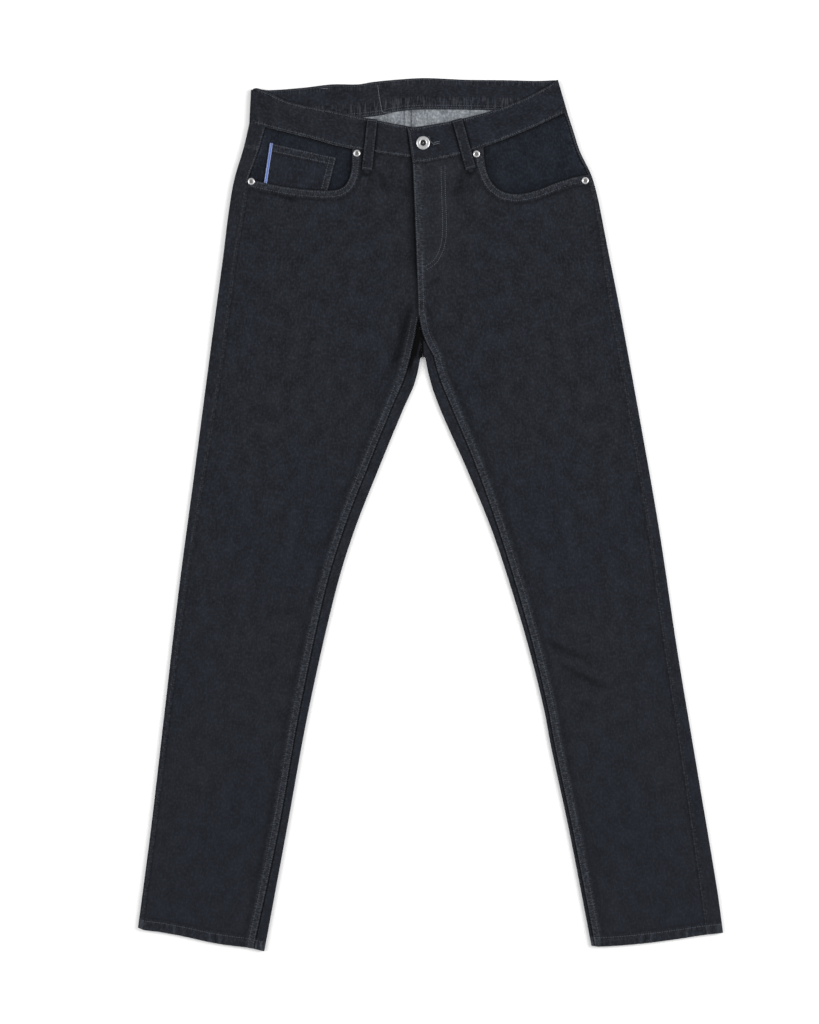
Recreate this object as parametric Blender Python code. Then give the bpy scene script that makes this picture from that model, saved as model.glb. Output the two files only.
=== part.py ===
"""Selvedge jeans laid flat, front up, as construction solids.

The tables are in millimetres and the objects in metres. +Y runs from hem to
waist, +Z points up from the surface that the jeans lie on, and the origin is
under the middle of the whole outline. Names use the wearer's own sides: the
wearer's right leg is on the -X side, because the front faces up.
"""
import math
from collections import namedtuple

import bmesh
import bpy

MM = 0.001

# Driving sizes of the cloth
CLOTH = 1.2
SEAM_GAP = 0.3
LAYER = CLOTH + SEAM_GAP
BAND_CLOTH = 2.4
HEM_CLOTH = 2.4
HEM_HEIGHT = 14.0
STRAP = 1.3
PATCH = 1.3
LOOP_WIDTH = 13.0

# How the layers lie on each other
FOLD_RADIUS = 3.1
BAND_RADIUS = 3.3
FOLD_REACH = 24.0
SEAT_LIFT = PATCH + SEAM_GAP
SEAT_LIFT_FULL_Y = 275.0
SEAT_LIFT_NONE_Y = 180.0
HIP_MIDDLE = 5.7
LEG_MIDDLE = 3.2
HEM_MIDDLE = 5.4
HIP_MIDDLE_Y = 388.0
LEG_MIDDLE_Y = 205.0
HEM_STEP = 3.0
HEM_REACH = 34.0
HEM_BOW_REACH = 60.0
BAND_TOP = SEAT_LIFT + 2.0 * BAND_RADIUS

# Mesh steps
FOLD_STEPS = 5
LEG_STEPS = 17
SCOOP_COLUMNS = 7
FRONT_COLUMNS = 5
SCOOP_SHARE = 0.6
UPPER_ROWS = 3
BACK_COLUMNS = 5
STRIP_COLUMNS = 3
COIN_STEPS = 4
EDGE_STEPS = 40
BUTTON_STEPS = 24
RIVET_STEPS = 16

Edge = namedtuple("Edge", "y x seam_inset")
Seam = namedtuple("Seam", "x y")
Middle = namedtuple("Middle", "y x")
Level = namedtuple("Level", "outer_y front_y back_y")
Bow = namedtuple("Bow", "share drop")
Fold = namedtuple("Fold", "x0 y0 x1 y1 width height")
Cut = namedtuple("Cut", "outer inset edge way inner_inset front_end")

# The two folded outer edges, with the distance of the outseam from the fold
OUTER_EDGE = {
    "right": [
        Edge(508.0, -235.3, 21.5), Edge(476.5, -242.5, 20.0), Edge(434.9, -254.8, 18.0),
        Edge(393.3, -262.0, 18.5), Edge(330.9, -269.8, 15.5), Edge(206.1, -286.7, 16.0),
        Edge(57.9, -306.2, 12.0), Edge(-98.2, -327.0, 8.0), Edge(-254.2, -345.2, 5.5),
        Edge(-410.2, -363.4, 4.2), Edge(-536.3, -380.0, 4.0)],
    "left": [
        Edge(522.7, 177.4, 4.0), Edge(497.3, 185.6, 4.0), Edge(471.0, 194.2, 4.0),
        Edge(441.0, 208.6, 4.0), Edge(414.1, 216.4, 4.0), Edge(388.0, 221.9, 4.3),
        Edge(357.0, 227.8, 5.2), Edge(315.0, 236.2, 7.8), Edge(268.5, 245.4, 10.0),
        Edge(135.9, 269.8, 11.0), Edge(-20.2, 297.1, 13.0), Edge(-176.2, 320.5, 14.0),
        Edge(-332.2, 346.5, 16.0), Edge(-488.2, 372.5, 19.5), Edge(-542.8, 380.0, 20.0)],
}

# The two folded inner edges below the fork, with the distance of the inseam
INNER_EDGE = {
    "right": [
        Edge(202.6, -14.8, 13.0), Edge(174.9, -18.9, 14.5), Edge(135.9, -35.8, 14.0),
        Edge(57.9, -68.0, 13.5), Edge(-20.2, -98.7, 13.0), Edge(-98.2, -122.8, 13.0),
        Edge(-254.2, -158.3, 11.0), Edge(-410.2, -186.8, 10.0), Edge(-567.0, -215.8, 14.0)],
    "left": [
        Edge(202.6, -7.9, 10.5), Edge(174.9, -1.0, 12.0), Edge(135.9, 13.0, 14.0),
        Edge(57.9, 47.6, 12.0), Edge(-20.2, 79.6, 8.0), Edge(-98.2, 105.5, 6.5),
        Edge(-176.2, 128.4, 5.5), Edge(-254.2, 147.6, 4.5), Edge(-300.0, 156.2, 4.3),
        Edge(-410.2, 179.9, 4.0), Edge(-560.0, 209.0, 4.0)],
}

# The fork: a rounded tip, and above it the two front seams, which part at a point
FORK_X = -10.0
FORK_Y = 204.8
FORK_RADIUS = 3.6
FORK_LEAN = -4.5
FORK_TURN = 72.0
FORK_DROP = 34.0
FORK_SEAM = {
    "right": [Seam(-15.7, 256.8), Seam(-18.7, 239.9), Seam(-22.3, 221.5), Seam(-25.5, 206.3)],
    "left": [Seam(-15.1, 256.8), Seam(-11.9, 239.9), Seam(-5.6, 222.0), Seam(3.7, 205.5)],
}
BASE_INSET = 18.0

# Front and back centre line, from the back waist down to the crotch
CENTRE = [Middle(525.0, -27.0), Middle(458.0, -23.2), Middle(357.0, -18.9),
          Middle(292.0, -16.6), Middle(256.8, -15.4), Middle(222.7, -11.4)]

# Where the waistband meets the panels, and the waistband's upper edges
WAIST_SEAM = {
    "right": [Seam(-235.3, 508.0), Seam(-163.2, 490.4), Seam(-119.0, 478.5),
              Seam(-71.6, 469.6), Seam(-23.2, 463.0), Seam(8.0, 462.0)],
    "left": [Seam(-30.0, 455.5), Seam(-8.0, 457.0), Seam(41.0, 467.4), Seam(67.9, 477.0),
             Seam(99.5, 488.2), Seam(130.7, 501.2), Seam(177.4, 522.7)],
    "back": [Seam(-235.3, 508.0), Seam(-150.0, 511.0), Seam(-100.0, 514.6),
             Seam(-65.7, 518.2), Seam(-46.0, 522.8), Seam(-20.0, 525.6), Seam(10.0, 526.0),
             Seam(40.0, 525.8), Seam(100.0, 524.6), Seam(177.4, 522.7)],
}
WAIST_TOP = {
    "right": [Seam(-233.2, 551.0), Seam(-225.5, 553.2), Seam(-213.0, 548.4),
              Seam(-181.9, 534.6), Seam(-129.9, 524.0), Seam(-80.0, 513.5),
              Seam(-29.3, 504.0), Seam(8.0, 500.5)],
    "left": [Seam(-30.0, 500.9), Seam(28.5, 510.6), Seam(55.3, 517.1), Seam(82.0, 524.6),
             Seam(122.9, 540.2), Seam(146.3, 552.5), Seam(165.4, 564.3)],
    "back": [Seam(-233.2, 551.0), Seam(-225.5, 553.2), Seam(-211.0, 551.3),
             Seam(-165.8, 554.4), Seam(-128.0, 558.8), Seam(-93.0, 558.9),
             Seam(-76.0, 561.8), Seam(-46.0, 564.8), Seam(-10.0, 567.0), Seam(22.0, 565.9),
             Seam(46.0, 564.8), Seam(100.0, 564.2), Seam(138.5, 563.3), Seam(165.4, 564.3)],
}

# Heights at which the hip is cut across: outer fold, front centre, back centre
LEVELS = {
    "right": [Level(508.0, 463.0, 525.0), Level(478.0, 441.0, 458.0),
              Level(436.5, 421.0, 424.0), Level(402.0, 388.0, 390.0),
              Level(370.0, 355.0, 356.0), Level(338.0, 322.0, 322.0),
              Level(308.0, 297.0, 290.0), Level(280.0, 276.0, 258.0),
              Level(254.0, 256.8, 222.7)],
    "left": [Level(522.7, 456.0, 525.0), Level(492.0, 439.0, 458.0),
             Level(441.0, 421.0, 424.0), Level(404.0, 388.0, 390.0),
             Level(371.0, 355.0, 356.0), Level(338.0, 322.0, 322.0),
             Level(308.0, 297.0, 290.0), Level(280.0, 276.0, 258.0),
             Level(254.0, 256.8, 222.7)],
}
WAIST_AIM = 30.0
YOKE_LEVEL = 1
MOUTH_LEVEL = 2
FORK_LEVEL = 8

# The pocket mouths, from the side seam down, across and up to the waistband
SCOOP = {
    "right": [Seam(-213.3, 429.7), Seam(-189.8, 425.0), Seam(-160.0, 421.3),
              Seam(-132.0, 420.0), Seam(-116.0, 423.2), Seam(-107.5, 431.5),
              Seam(-103.0, 444.5), Seam(-101.5, 459.6)],
    "left": [Seam(184.0, 437.0), Seam(163.0, 430.0), Seam(138.0, 420.5),
             Seam(115.1, 415.6), Seam(97.0, 417.6), Seam(84.5, 425.0),
             Seam(75.5, 437.5), Seam(68.5, 458.0)],
}
SCOOP_CORNER = 5

# The pocket facings: how far they run on under the front, their places from the side
# seam, and where the right one steps down under the coin pocket
FACING_MARGIN = 14.0
FACING_PLACES = (0.0, 7.0, 14.0, 24.0)
FACING_COLUMNS = 3
FACING_RISE = 4.0
FACING_STEP_START = 20.0
FACING_STEP_WIDTH = 12.0
COIN_POCKET = [Seam(-206.5, 481.5), Seam(-122.5, 463.0), Seam(-138.0, 404.0),
               Seam(-217.0, 411.0)]

# The fly: the left front lies over the right front down to its stitched end
FLY_END_Y = 336.0
FLY_FOOT_Y = 306.0
FLY_UNDERLAP = 9.0
FLY_STEP_START = 6.0
FLY_STEP_END = 2.0
FLY_DROP = LAYER + 0.5

# How far each hem's rounded line lies below its straight one, from outer edge to inner
HEM_BOW = {
    "right": [Bow(0.0, 0.0), Bow(0.06, 1.4), Bow(0.16, 0.3), Bow(0.36, 0.1), Bow(0.5, 1.0),
              Bow(0.63, 1.3), Bow(0.76, 0.3), Bow(0.89, -1.0), Bow(1.0, 0.0)],
    "left": [Bow(0.0, 0.0), Bow(0.16, 0.5), Bow(0.34, 2.3), Bow(0.6, 3.7), Bow(0.83, 3.2),
             Bow(0.94, 2.0), Bow(1.0, 0.0)],
}

# The largest soft folds of the front, raised or sunk, which fade at both ends
FOLD_FADE = 0.3
FOLDS = [
    Fold(-19.0, 300.0, -34.0, 243.0, 16.0, -1.2),
    Fold(-34.0, 243.0, -52.0, 190.0, 15.0, -0.4),
    Fold(-15.0, 252.0, -22.0, 180.0, 9.0, -1.0),
    Fold(34.0, 440.0, 33.0, 285.0, 9.0, 0.6),
    Fold(142.0, -154.0, 212.0, -190.0, 16.0, 1.1),
    Fold(166.0, -186.0, 230.0, -226.0, 15.0, 0.9),
    Fold(-236.0, 342.0, -226.0, 250.0, 11.0, 0.7),
    Fold(-152.0, -108.0, -212.0, -124.0, 13.0, 0.8),
]

# Waistband stretches: x at the side and at the centre, for its seam and its upper edge
BAND_SPAN = {
    "right": ((-235.3, 6.0), (-233.2, 6.0)),
    "left": ((177.4, -23.0), (165.4, -29.9)),
    "back": ((-235.3, 177.4), (-233.2, 165.4)),
}
BAND_PLACES = {
    "right": (0.0137, 0.032, 0.1, 0.22, 0.34, 0.46, 0.58, 0.7, 0.82, 0.845, 0.862, 0.88,
              1.0),
    "left": (0.0165, 0.12, 0.26, 0.4, 0.54, 0.68, 0.84, 1.0),
    "back": (0.008, 0.02, 0.1, 0.2, 0.26, 0.35, 0.4, 0.45, 0.5, 0.6, 0.7, 0.8, 0.9, 0.992),
}
BAND_AIM = {"right": (0.08, 0.05), "left": (0.08, 0.95)}
BAND_STEP_X = -34.0
BAND_STEP_WIDTH = 7.0

# Back pockets, belt loops, button and rivets
BACK_POCKET = {"right": (-132.0, 448.0, 4.0), "left": (94.0, 449.0, -4.0)}
BACK_POCKET_HALF_TOP = 78.0
BACK_POCKET_HALF_BOTTOM = 70.0
BACK_POCKET_SIDE = 140.0
BACK_POCKET_POINT = 164.0
FRONT_LOOPS = {"right": (Seam(-75.4, 513.0), Seam(-82.6, 447.0)),
               "left": (Seam(34.4, 512.5), Seam(52.1, 448.5))}
BACK_LOOPS = {"back_centre": (Seam(-27.0, 565.0), Seam(-27.0, 511.0)),
              "back_right": (Seam(-156.0, 555.0), Seam(-151.0, 500.0)),
              "back_left": (Seam(104.0, 563.0), Seam(100.0, 511.0))}
LOOP_LIFT = SEAM_GAP + 0.1
LOOP_BENDS = (10.0, -3.0, -8.0)
LOOP_SEAM_SHARE = 0.7
BUTTON = Seam(-9.6, 481.5)
RIVETS = {"right_inner_rivet": Seam(-95.6, 468.6), "left_inner_rivet": Seam(59.6, 467.6),
          "right_outer_rivet": Seam(-232.5, 432.0), "left_outer_rivet": Seam(200.6, 433.0)}

# Turned outlines as radius and height
BUTTON_PROFILE = [(0.0, 0.0), (4.2, 0.0), (4.2, 1.3), (7.6, 1.5), (9.0, 2.3), (9.0, 3.2),
                  (8.0, 4.2), (5.6, 4.3), (4.2, 3.5), (3.0, 2.6), (1.4, 2.6), (0.9, 3.2),
                  (0.0, 3.3)]
RIVET_PROFILE = [(0.0, 0.0), (4.7, 0.0), (4.7, 0.6), (3.9, 1.4), (2.5, 1.5), (1.6, 0.9),
                 (0.9, 0.9), (0.5, 1.3), (0.0, 1.35)]

# Colour, roughness and metallic value of each finish
FINISHES = {
    "denim": ((0.020, 0.024, 0.034, 1.0), 0.85, 0.0),
    "denim_facing": ((0.018, 0.022, 0.033, 1.0), 0.85, 0.0),
    "metal": ((0.62, 0.63, 0.64, 1.0), 0.32, 1.0),
}


def side_sign(side):
    """-1 for the wearer's right leg, which lies on the -X side, else 1."""
    return -1.0 if side == "right" else 1.0


def ease(value):
    """Smooth step from 0 to 1."""
    t = min(max(value, 0.0), 1.0)
    return t * t * (3.0 - 2.0 * t)


def mix(a, b, t):
    return a + (b - a) * t


def curve(rows, at):
    """Value columns of a table at a place along its first column, as a smooth curve."""
    keys = [row[0] for row in rows]
    if keys[0] > keys[-1]:
        return curve(rows[::-1], at)
    last = len(rows) - 2
    i = max(0, min(last, sum(1 for key in keys[1:-1] if key <= at)))
    span = keys[i + 1] - keys[i]
    t = (at - keys[i]) / span

    def slope(j, column):
        lo = max(j - 1, 0)
        hi = min(j + 1, len(rows) - 1)
        return (rows[hi][column] - rows[lo][column]) / (keys[hi] - keys[lo])

    result = []
    for column in range(1, len(rows[0])):
        a = rows[i][column]
        b = rows[i + 1][column]
        ma = slope(i, column) * span
        mb = slope(i + 1, column) * span
        result.append((2 * t ** 3 - 3 * t ** 2 + 1) * a + (t ** 3 - 2 * t ** 2 + t) * ma
                      + (3 * t ** 2 - 2 * t ** 3) * b + (t ** 3 - t ** 2) * mb)
    return result


def outer_point(side, y):
    """Point of the folded outer edge at a height y, and the outseam's inset."""
    x, inset = curve(OUTER_EDGE[side], y)
    return (x, y), inset


def inner_point(side, y):
    """Point of the folded inner edge, the way into the leg, and the inseam's inset."""
    x, inset = curve(INNER_EDGE[side], y)
    slope = (curve(INNER_EDGE[side], y + 1.0)[0] - curve(INNER_EDGE[side], y - 1.0)[0]) / 2.0
    length = math.hypot(1.0, slope)
    sign = side_sign(side)
    return (x, y), (sign / length, -sign * slope / length), inset


def fork_point(angle):
    """Point of the rounded fork at an angle from +Y."""
    lean = math.radians(FORK_LEAN)
    turn = math.radians(angle)
    return (FORK_X + FORK_RADIUS * (math.sin(turn) - math.sin(lean)),
            FORK_Y + FORK_RADIUS * (math.cos(turn) - math.cos(lean)))


def centre_x(y):
    return curve(CENTRE, y)[0]


def fold_edge_lines():
    """The folded edges seen from above, as lines of points."""
    lines = []
    for side in ("right", "left"):
        top = OUTER_EDGE[side][0].y
        bottom = OUTER_EDGE[side][-1].y
        outer = [outer_point(side, mix(top, bottom, i / EDGE_STEPS))[0]
                 for i in range(EDGE_STEPS + 1)]
        waist_corner = WAIST_TOP[side][0] if side == "right" else WAIST_TOP[side][-1]
        lines.append([tuple(waist_corner)] + outer)
        high = INNER_EDGE[side][0].y
        low = INNER_EDGE[side][-1].y
        turn = side_sign(side) * FORK_TURN
        fork = [fork_point(mix(FORK_LEAN, turn, i / FOLD_STEPS)) for i in range(FOLD_STEPS + 1)]
        inner = [inner_point(side, mix(high, low, i / EDGE_STEPS))[0]
                 for i in range(1, EDGE_STEPS + 1)]
        lines.append(fork + inner)
    return lines


def hem_line(side):
    """Outer and inner corner of a leg's hem."""
    return outer_point(side, OUTER_EDGE[side][-1].y)[0], inner_point(
        side, INNER_EDGE[side][-1].y)[0]


def segment_distance(x, y, a, b):
    """Distance of a point from a segment, and how far along it lies from 0 to 1."""
    dx = b[0] - a[0]
    dy = b[1] - a[1]
    t = ((x - a[0]) * dx + (y - a[1]) * dy) / (dx * dx + dy * dy)
    t = min(max(t, 0.0), 1.0)
    return math.hypot(x - a[0] - t * dx, y - a[1] - t * dy), t


FOLD_LINES = fold_edge_lines()


def fold_distance(x, y):
    """Distance from the nearest folded edge."""
    return min(segment_distance(x, y, a, b)[0]
               for line in FOLD_LINES for a, b in zip(line, line[1:]))


def hem_distance(x, y):
    """Height above the hem of the leg on this side."""
    a, b = hem_line("right" if x < 0.0 else "left")
    length = math.hypot(b[0] - a[0], b[1] - a[1])
    across = (b[0] - a[0]) * (y - a[1]) - (b[1] - a[1]) * (x - a[0])
    return abs(across) / length


def hem_bow(x, y):
    """How far a point near the hem moves down to the hem's rounded line."""
    if y > 0.0:
        return 0.0
    side = "right" if x < 0.0 else "left"
    outer, inner = hem_line(side)
    share = min(max((x - outer[0]) / (inner[0] - outer[0]), 0.0), 1.0)
    return curve(HEM_BOW[side], share)[0] * (1.0 - ease(hem_distance(x, y) / HEM_BOW_REACH))


def seat_lift(y):
    """Height of the underside, which rests on the back pockets at the hip."""
    return SEAT_LIFT * ease((y - SEAT_LIFT_NONE_Y) / (SEAT_LIFT_FULL_Y - SEAT_LIFT_NONE_Y))


def soft_folds(x, y):
    """Height that the soft folds of the front add or take."""
    height = 0.0
    for fold in FOLDS:
        away, t = segment_distance(x, y, (fold.x0, fold.y0), (fold.x1, fold.y1))
        fade = ease(t / FOLD_FADE) * ease((1.0 - t) / FOLD_FADE)
        height += fold.height * fade * ease(1.0 - away / fold.width)
    return height


def top_z(x, y):
    """Height of the upper side of the garment, seen from above."""
    middle = mix(LEG_MIDDLE, HIP_MIDDLE, ease((y - LEG_MIDDLE_Y) / (HIP_MIDDLE_Y - LEG_MIDDLE_Y)))
    if y < LEG_MIDDLE_Y:
        near_hem = 1.0 - ease((hem_distance(x, y) - HEM_HEIGHT - HEM_STEP) / HEM_REACH)
        middle = mix(middle, HEM_MIDDLE, near_hem)
    near_fold = 1.0 - ease((fold_distance(x, y) - FOLD_RADIUS) / FOLD_REACH)
    return seat_lift(y) + mix(middle, 2.0 * FOLD_RADIUS, near_fold) + soft_folds(x, y)


def wall_at(x, y):
    """Cloth thickness, doubled where the hem is turned up."""
    if y < 0.0 and hem_distance(x, y) < HEM_HEIGHT + SEAM_GAP:
        return HEM_CLOTH
    return CLOTH


def finish(name):
    """A Principled material for one finish."""
    material = bpy.data.materials.get(name)
    if material is None:
        colour, roughness, metallic = FINISHES[name]
        material = bpy.data.materials.new(name)
        material.use_nodes = True
        shader = material.node_tree.nodes["Principled BSDF"]
        shader.inputs["Base Color"].default_value = colour
        shader.inputs["Roughness"].default_value = roughness
        shader.inputs["Metallic"].default_value = metallic
    return material


def place(bm, name, finish_name):
    """Turn a bmesh in millimetres into a named object in metres."""
    bmesh.ops.scale(bm, vec=(MM, MM, MM), verts=bm.verts)
    bmesh.ops.recalc_face_normals(bm, faces=bm.faces)
    mesh = bpy.data.meshes.new(name)
    bm.to_mesh(mesh)
    bm.free()
    mesh.shade_smooth()
    mesh.set_sharp_from_angle(angle=math.radians(40.0))
    mesh.materials.append(finish(finish_name))
    item = bpy.data.objects.new(name, mesh)
    bpy.context.scene.collection.objects.link(item)
    return item


class Sheet:
    """Cloth as pairs of outer and inner points, closed into a wall by close()."""

    def __init__(self):
        self.bm = bmesh.new()
        self.inner = {}

    def pair(self, outer, inner):
        vert = self.bm.verts.new(outer)
        self.inner[vert] = inner
        return vert

    def rows(self, grid):
        """Faces between neighbouring rows of points."""
        for upper, lower in zip(grid, grid[1:]):
            for i in range(len(upper) - 1):
                self.bm.faces.new((upper[i], upper[i + 1], lower[i + 1], lower[i]))

    def close(self, name, finish_name="denim"):
        """Add the inner side and the cut edges, round the hem, and make the object."""
        bm = self.bm
        faces = list(bm.faces)
        rims = [edge for edge in bm.edges if len(edge.link_faces) == 1]
        twin = {vert: bm.verts.new(point) for vert, point in self.inner.items()}
        for face in faces:
            bm.faces.new([twin[vert] for vert in reversed(face.verts)])
        for edge in rims:
            loop = edge.link_loops[0]
            a = loop.vert
            b = loop.link_loop_next.vert
            bm.faces.new((b, a, twin[a], twin[b]))
        for vert in bm.verts:
            vert.co.y -= hem_bow(vert.co.x, vert.co.y)
        return place(bm, name, finish_name)


def top_pair(sheet, x, y, drop=0.0):
    """A point on the upper side, or a given drop below it, with its inner point."""
    z = top_z(x, y) - drop
    return sheet.pair((x, y, z), (x, y, z - wall_at(x, y)))


def bottom_pair(sheet, x, y):
    """A point on the flat underside with its inner point."""
    z = seat_lift(y)
    return sheet.pair((x, y, z), (x, y, z + wall_at(x, y)))


def towards(a, b):
    """Unit vector from a to b."""
    length = math.hypot(b[0] - a[0], b[1] - a[1])
    return (b[0] - a[0]) / length, (b[1] - a[1]) / length


def step(point, way, distance):
    return point[0] + way[0] * distance, point[1] + way[1] * distance


def fold_pairs(sheet, edge, top_way, bottom_way, radius=FOLD_RADIUS, wall=None):
    """The rounded fold at an edge, from just past its top to just before its bottom."""
    pairs = []
    thick = wall if wall is not None else wall_at(*edge)
    for i in range(1, FOLD_STEPS):
        t = i / FOLD_STEPS
        angle = math.pi / 2.0 - math.pi * t
        way = (mix(top_way[0], bottom_way[0], t), mix(top_way[1], bottom_way[1], t))
        outer = step(edge, way, radius * (1.0 - math.cos(angle)))
        inner = step(edge, way, radius - (radius - thick) * math.cos(angle))
        base = seat_lift(edge[1])
        z = base + radius + radius * math.sin(angle)
        inner_z = base + radius + (radius - thick) * math.sin(angle)
        pairs.append(sheet.pair((*outer, z), (*inner, inner_z)))
    return pairs


def leg_levels(side):
    """Outer and inner heights of the cuts across a leg, from the fork to the hem."""
    start_outer = LEVELS[side][FORK_LEVEL].outer_y - FORK_DROP
    start_inner = INNER_EDGE[side][0].y
    end_outer = OUTER_EDGE[side][-1].y
    end_inner = INNER_EDGE[side][-1].y
    hem_top = HEM_HEIGHT + HEM_STEP
    free_end = hem_top + HEM_REACH
    levels = []
    for i in range(1, LEG_STEPS + 1):
        t = i / LEG_STEPS
        levels.append((mix(start_outer, end_outer + free_end, t),
                       mix(start_inner, end_inner + free_end, t)))
    for rise in (hem_top + HEM_REACH / 2.0, hem_top, HEM_HEIGHT, 0.0):
        levels.append((end_outer + rise, end_inner + rise))
    return levels


def leg_cuts(side):
    """Every cut across a leg, first round the fork and then down to the hem."""
    cuts = []
    sign = side_sign(side)
    first = LEVELS[side][FORK_LEVEL].outer_y
    seams = FORK_SEAM[side]
    for i, seam in enumerate(seams):
        t = i / (len(seams) - 1)
        edge = fork_point(mix(FORK_LEAN, sign * FORK_TURN, t))
        outer, inset = outer_point(side, first - FORK_DROP * t)
        way = towards(edge, seam)
        inner_inset = math.hypot(seam.x - edge[0], seam.y - edge[1])
        front_end = (seam.x + sign * SEAM_GAP, seam.y)
        cuts.append(Cut(outer, inset, edge, way, inner_inset, front_end))
    for outer_y, inner_y in leg_levels(side):
        outer, inset = outer_point(side, outer_y)
        edge, way, inner_inset = inner_point(side, inner_y)
        front_end = step(edge, way, inner_inset + SEAM_GAP)
        cuts.append(Cut(outer, inset, edge, way, inner_inset, front_end))
    return cuts


def centre_gap(side, point):
    """Move a point on the centre line half a seam gap to its own side."""
    return point[0] + side_sign(side) * SEAM_GAP / 2.0, point[1]


def seam_y(table, x):
    return curve(table, x)[0]


def back_row(sheet, outer, inset, top_end, bottom_end, shift=0.0):
    """One row of the back: seam on top, round the outer fold, and along the underside."""
    top_way = towards(outer, top_end)
    bottom_way = towards(outer, bottom_end)
    row = []
    for distance in (inset, (inset + FOLD_RADIUS) / 2.0, FOLD_RADIUS):
        x, y = step(outer, top_way, distance)
        row.append(top_pair(sheet, x, y + shift))
    edge = (outer[0], outer[1] + shift)
    row.extend(fold_pairs(sheet, edge, top_way, bottom_way))
    length = math.hypot(bottom_end[0] - outer[0], bottom_end[1] - outer[1])
    for i in range(BACK_COLUMNS + 1):
        distance = mix(FOLD_RADIUS, length, i / BACK_COLUMNS)
        x, y = step(outer, bottom_way, distance)
        row.append(bottom_pair(sheet, x, y + shift))
    return row


def hip_row_ends(side, level):
    """Outer point, inset, and the ends of a hip row at the front and back centre."""
    outer, inset = outer_point(side, level.outer_y)
    front = (centre_x(level.front_y), level.front_y)
    back = centre_gap(side, (centre_x(level.back_y), level.back_y))
    return outer, inset, front, back


def waist_row(sheet, side):
    """The yoke's upper edge, half a gap below the waistband."""
    level = LEVELS[side][0]
    outer, inset = outer_point(side, level.outer_y)
    inwards = -side_sign(side)
    shift = -SEAM_GAP / 2.0
    aim = outer[0] + inwards * WAIST_AIM
    top_way = towards(outer, (aim, seam_y(WAIST_SEAM[side], aim)))
    bottom_way = towards(outer, (aim, seam_y(WAIST_SEAM["back"], aim)))
    row = []
    for distance in (inset, (inset + FOLD_RADIUS) / 2.0, FOLD_RADIUS):
        x = outer[0] + top_way[0] * distance
        row.append(top_pair(sheet, x, seam_y(WAIST_SEAM[side], x) + shift))
    row.extend(fold_pairs(sheet, (outer[0], outer[1] + shift), top_way, bottom_way))
    end_x = centre_x(level.back_y) + side_sign(side) * SEAM_GAP / 2.0
    start_x = outer[0] + inwards * FOLD_RADIUS
    for i in range(BACK_COLUMNS + 1):
        x = mix(start_x, end_x, i / BACK_COLUMNS)
        row.append(bottom_pair(sheet, x, seam_y(WAIST_SEAM["back"], x) + shift))
    return row


def make_yoke(side):
    """Back yoke, between the waistband and the back panel."""
    sheet = Sheet()
    level = LEVELS[side][YOKE_LEVEL]
    outer, inset, front, back = hip_row_ends(side, level)
    top = waist_row(sheet, side)
    bottom = back_row(sheet, outer, inset, front, back, shift=SEAM_GAP / 2.0)
    sheet.rows([top, bottom])
    sheet.close(f"{side}_yoke")


def make_back(side):
    """Back panel: from the yoke to the hem, round both folded edges of the leg."""
    sheet = Sheet()
    grid = []
    for number, level in enumerate(LEVELS[side][YOKE_LEVEL:FORK_LEVEL]):
        outer, inset, front, back = hip_row_ends(side, level)
        shift = -SEAM_GAP / 2.0 if number == 0 else 0.0
        grid.append(back_row(sheet, outer, inset, front, back, shift))
    inner_grid = []
    for number, cut in enumerate(leg_cuts(side)):
        edge = cut.edge
        way = cut.way
        if number == 0:
            aside = side_sign(side) * SEAM_GAP / 2.0
            edge = (edge[0] + way[1] * aside, edge[1] - way[0] * aside)
        base = step(edge, way, BASE_INSET)
        row = back_row(sheet, cut.outer, cut.inset, cut.front_end, base)
        grid.append(row)
        strip = [row[-1], bottom_pair(sheet, *step(edge, way, FOLD_RADIUS))]
        strip.extend(reversed(fold_pairs(sheet, edge, way, way)))
        for i in range(STRIP_COLUMNS + 1):
            distance = mix(FOLD_RADIUS, cut.inner_inset, i / STRIP_COLUMNS)
            strip.append(top_pair(sheet, *step(edge, way, distance)))
        inner_grid.append(strip)
    sheet.rows(grid)
    sheet.rows(inner_grid)
    sheet.close(f"{side}_back")


def scoop_point(side, place_along):
    """Point of the pocket mouth at a place from 0, at the side seam, to 1."""
    rows = SCOOP[side]
    at = place_along * (len(rows) - 1)
    keyed = [(i, row.x, row.y) for i, row in enumerate(rows)]
    return tuple(curve(keyed, at))


def front_fractions():
    """Places of the front's columns across a plain row, from outseam to centre."""
    below_mouth = [SCOOP_SHARE * i / SCOOP_COLUMNS for i in range(SCOOP_COLUMNS + 1)]
    beside_mouth = [mix(SCOOP_SHARE, 1.0, i / FRONT_COLUMNS) for i in range(1, FRONT_COLUMNS)]
    return below_mouth + beside_mouth


# The right front's last columns: past the centre line, and down, at the fly and its foot
FLY_COLUMNS = {
    "fly": ((-FLY_STEP_START, 0.0), (-FLY_STEP_END, FLY_DROP), (FLY_UNDERLAP, FLY_DROP)),
    "foot": ((-FLY_STEP_START, 0.0), (-FLY_STEP_END, FLY_DROP), (0.0, FLY_DROP)),
}


def fly_state(front_y):
    """Whether a row crosses the fly, its foot, or the plain seam below it."""
    if front_y > FLY_END_Y:
        return "fly"
    return "foot" if front_y > FLY_FOOT_Y else "seam"


def closing_columns(sheet, side, last, end, state, seam=None):
    """Last columns of a front row. The right front steps down under the fly."""
    if side == "left":
        return [top_pair(sheet, *end)]
    if state == "seam":
        return [top_pair(sheet, mix(last[0], end[0], t), mix(last[1], end[1], t))
                for t in (1.0 / 3.0, 2.0 / 3.0, 1.0)]
    row = []
    for reach, drop in FLY_COLUMNS[state]:
        x = end[0] + reach
        y = end[1] if seam is None else seam_y(seam, x) - SEAM_GAP / 2.0
        row.append(top_pair(sheet, x, y, drop))
    return row


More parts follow.
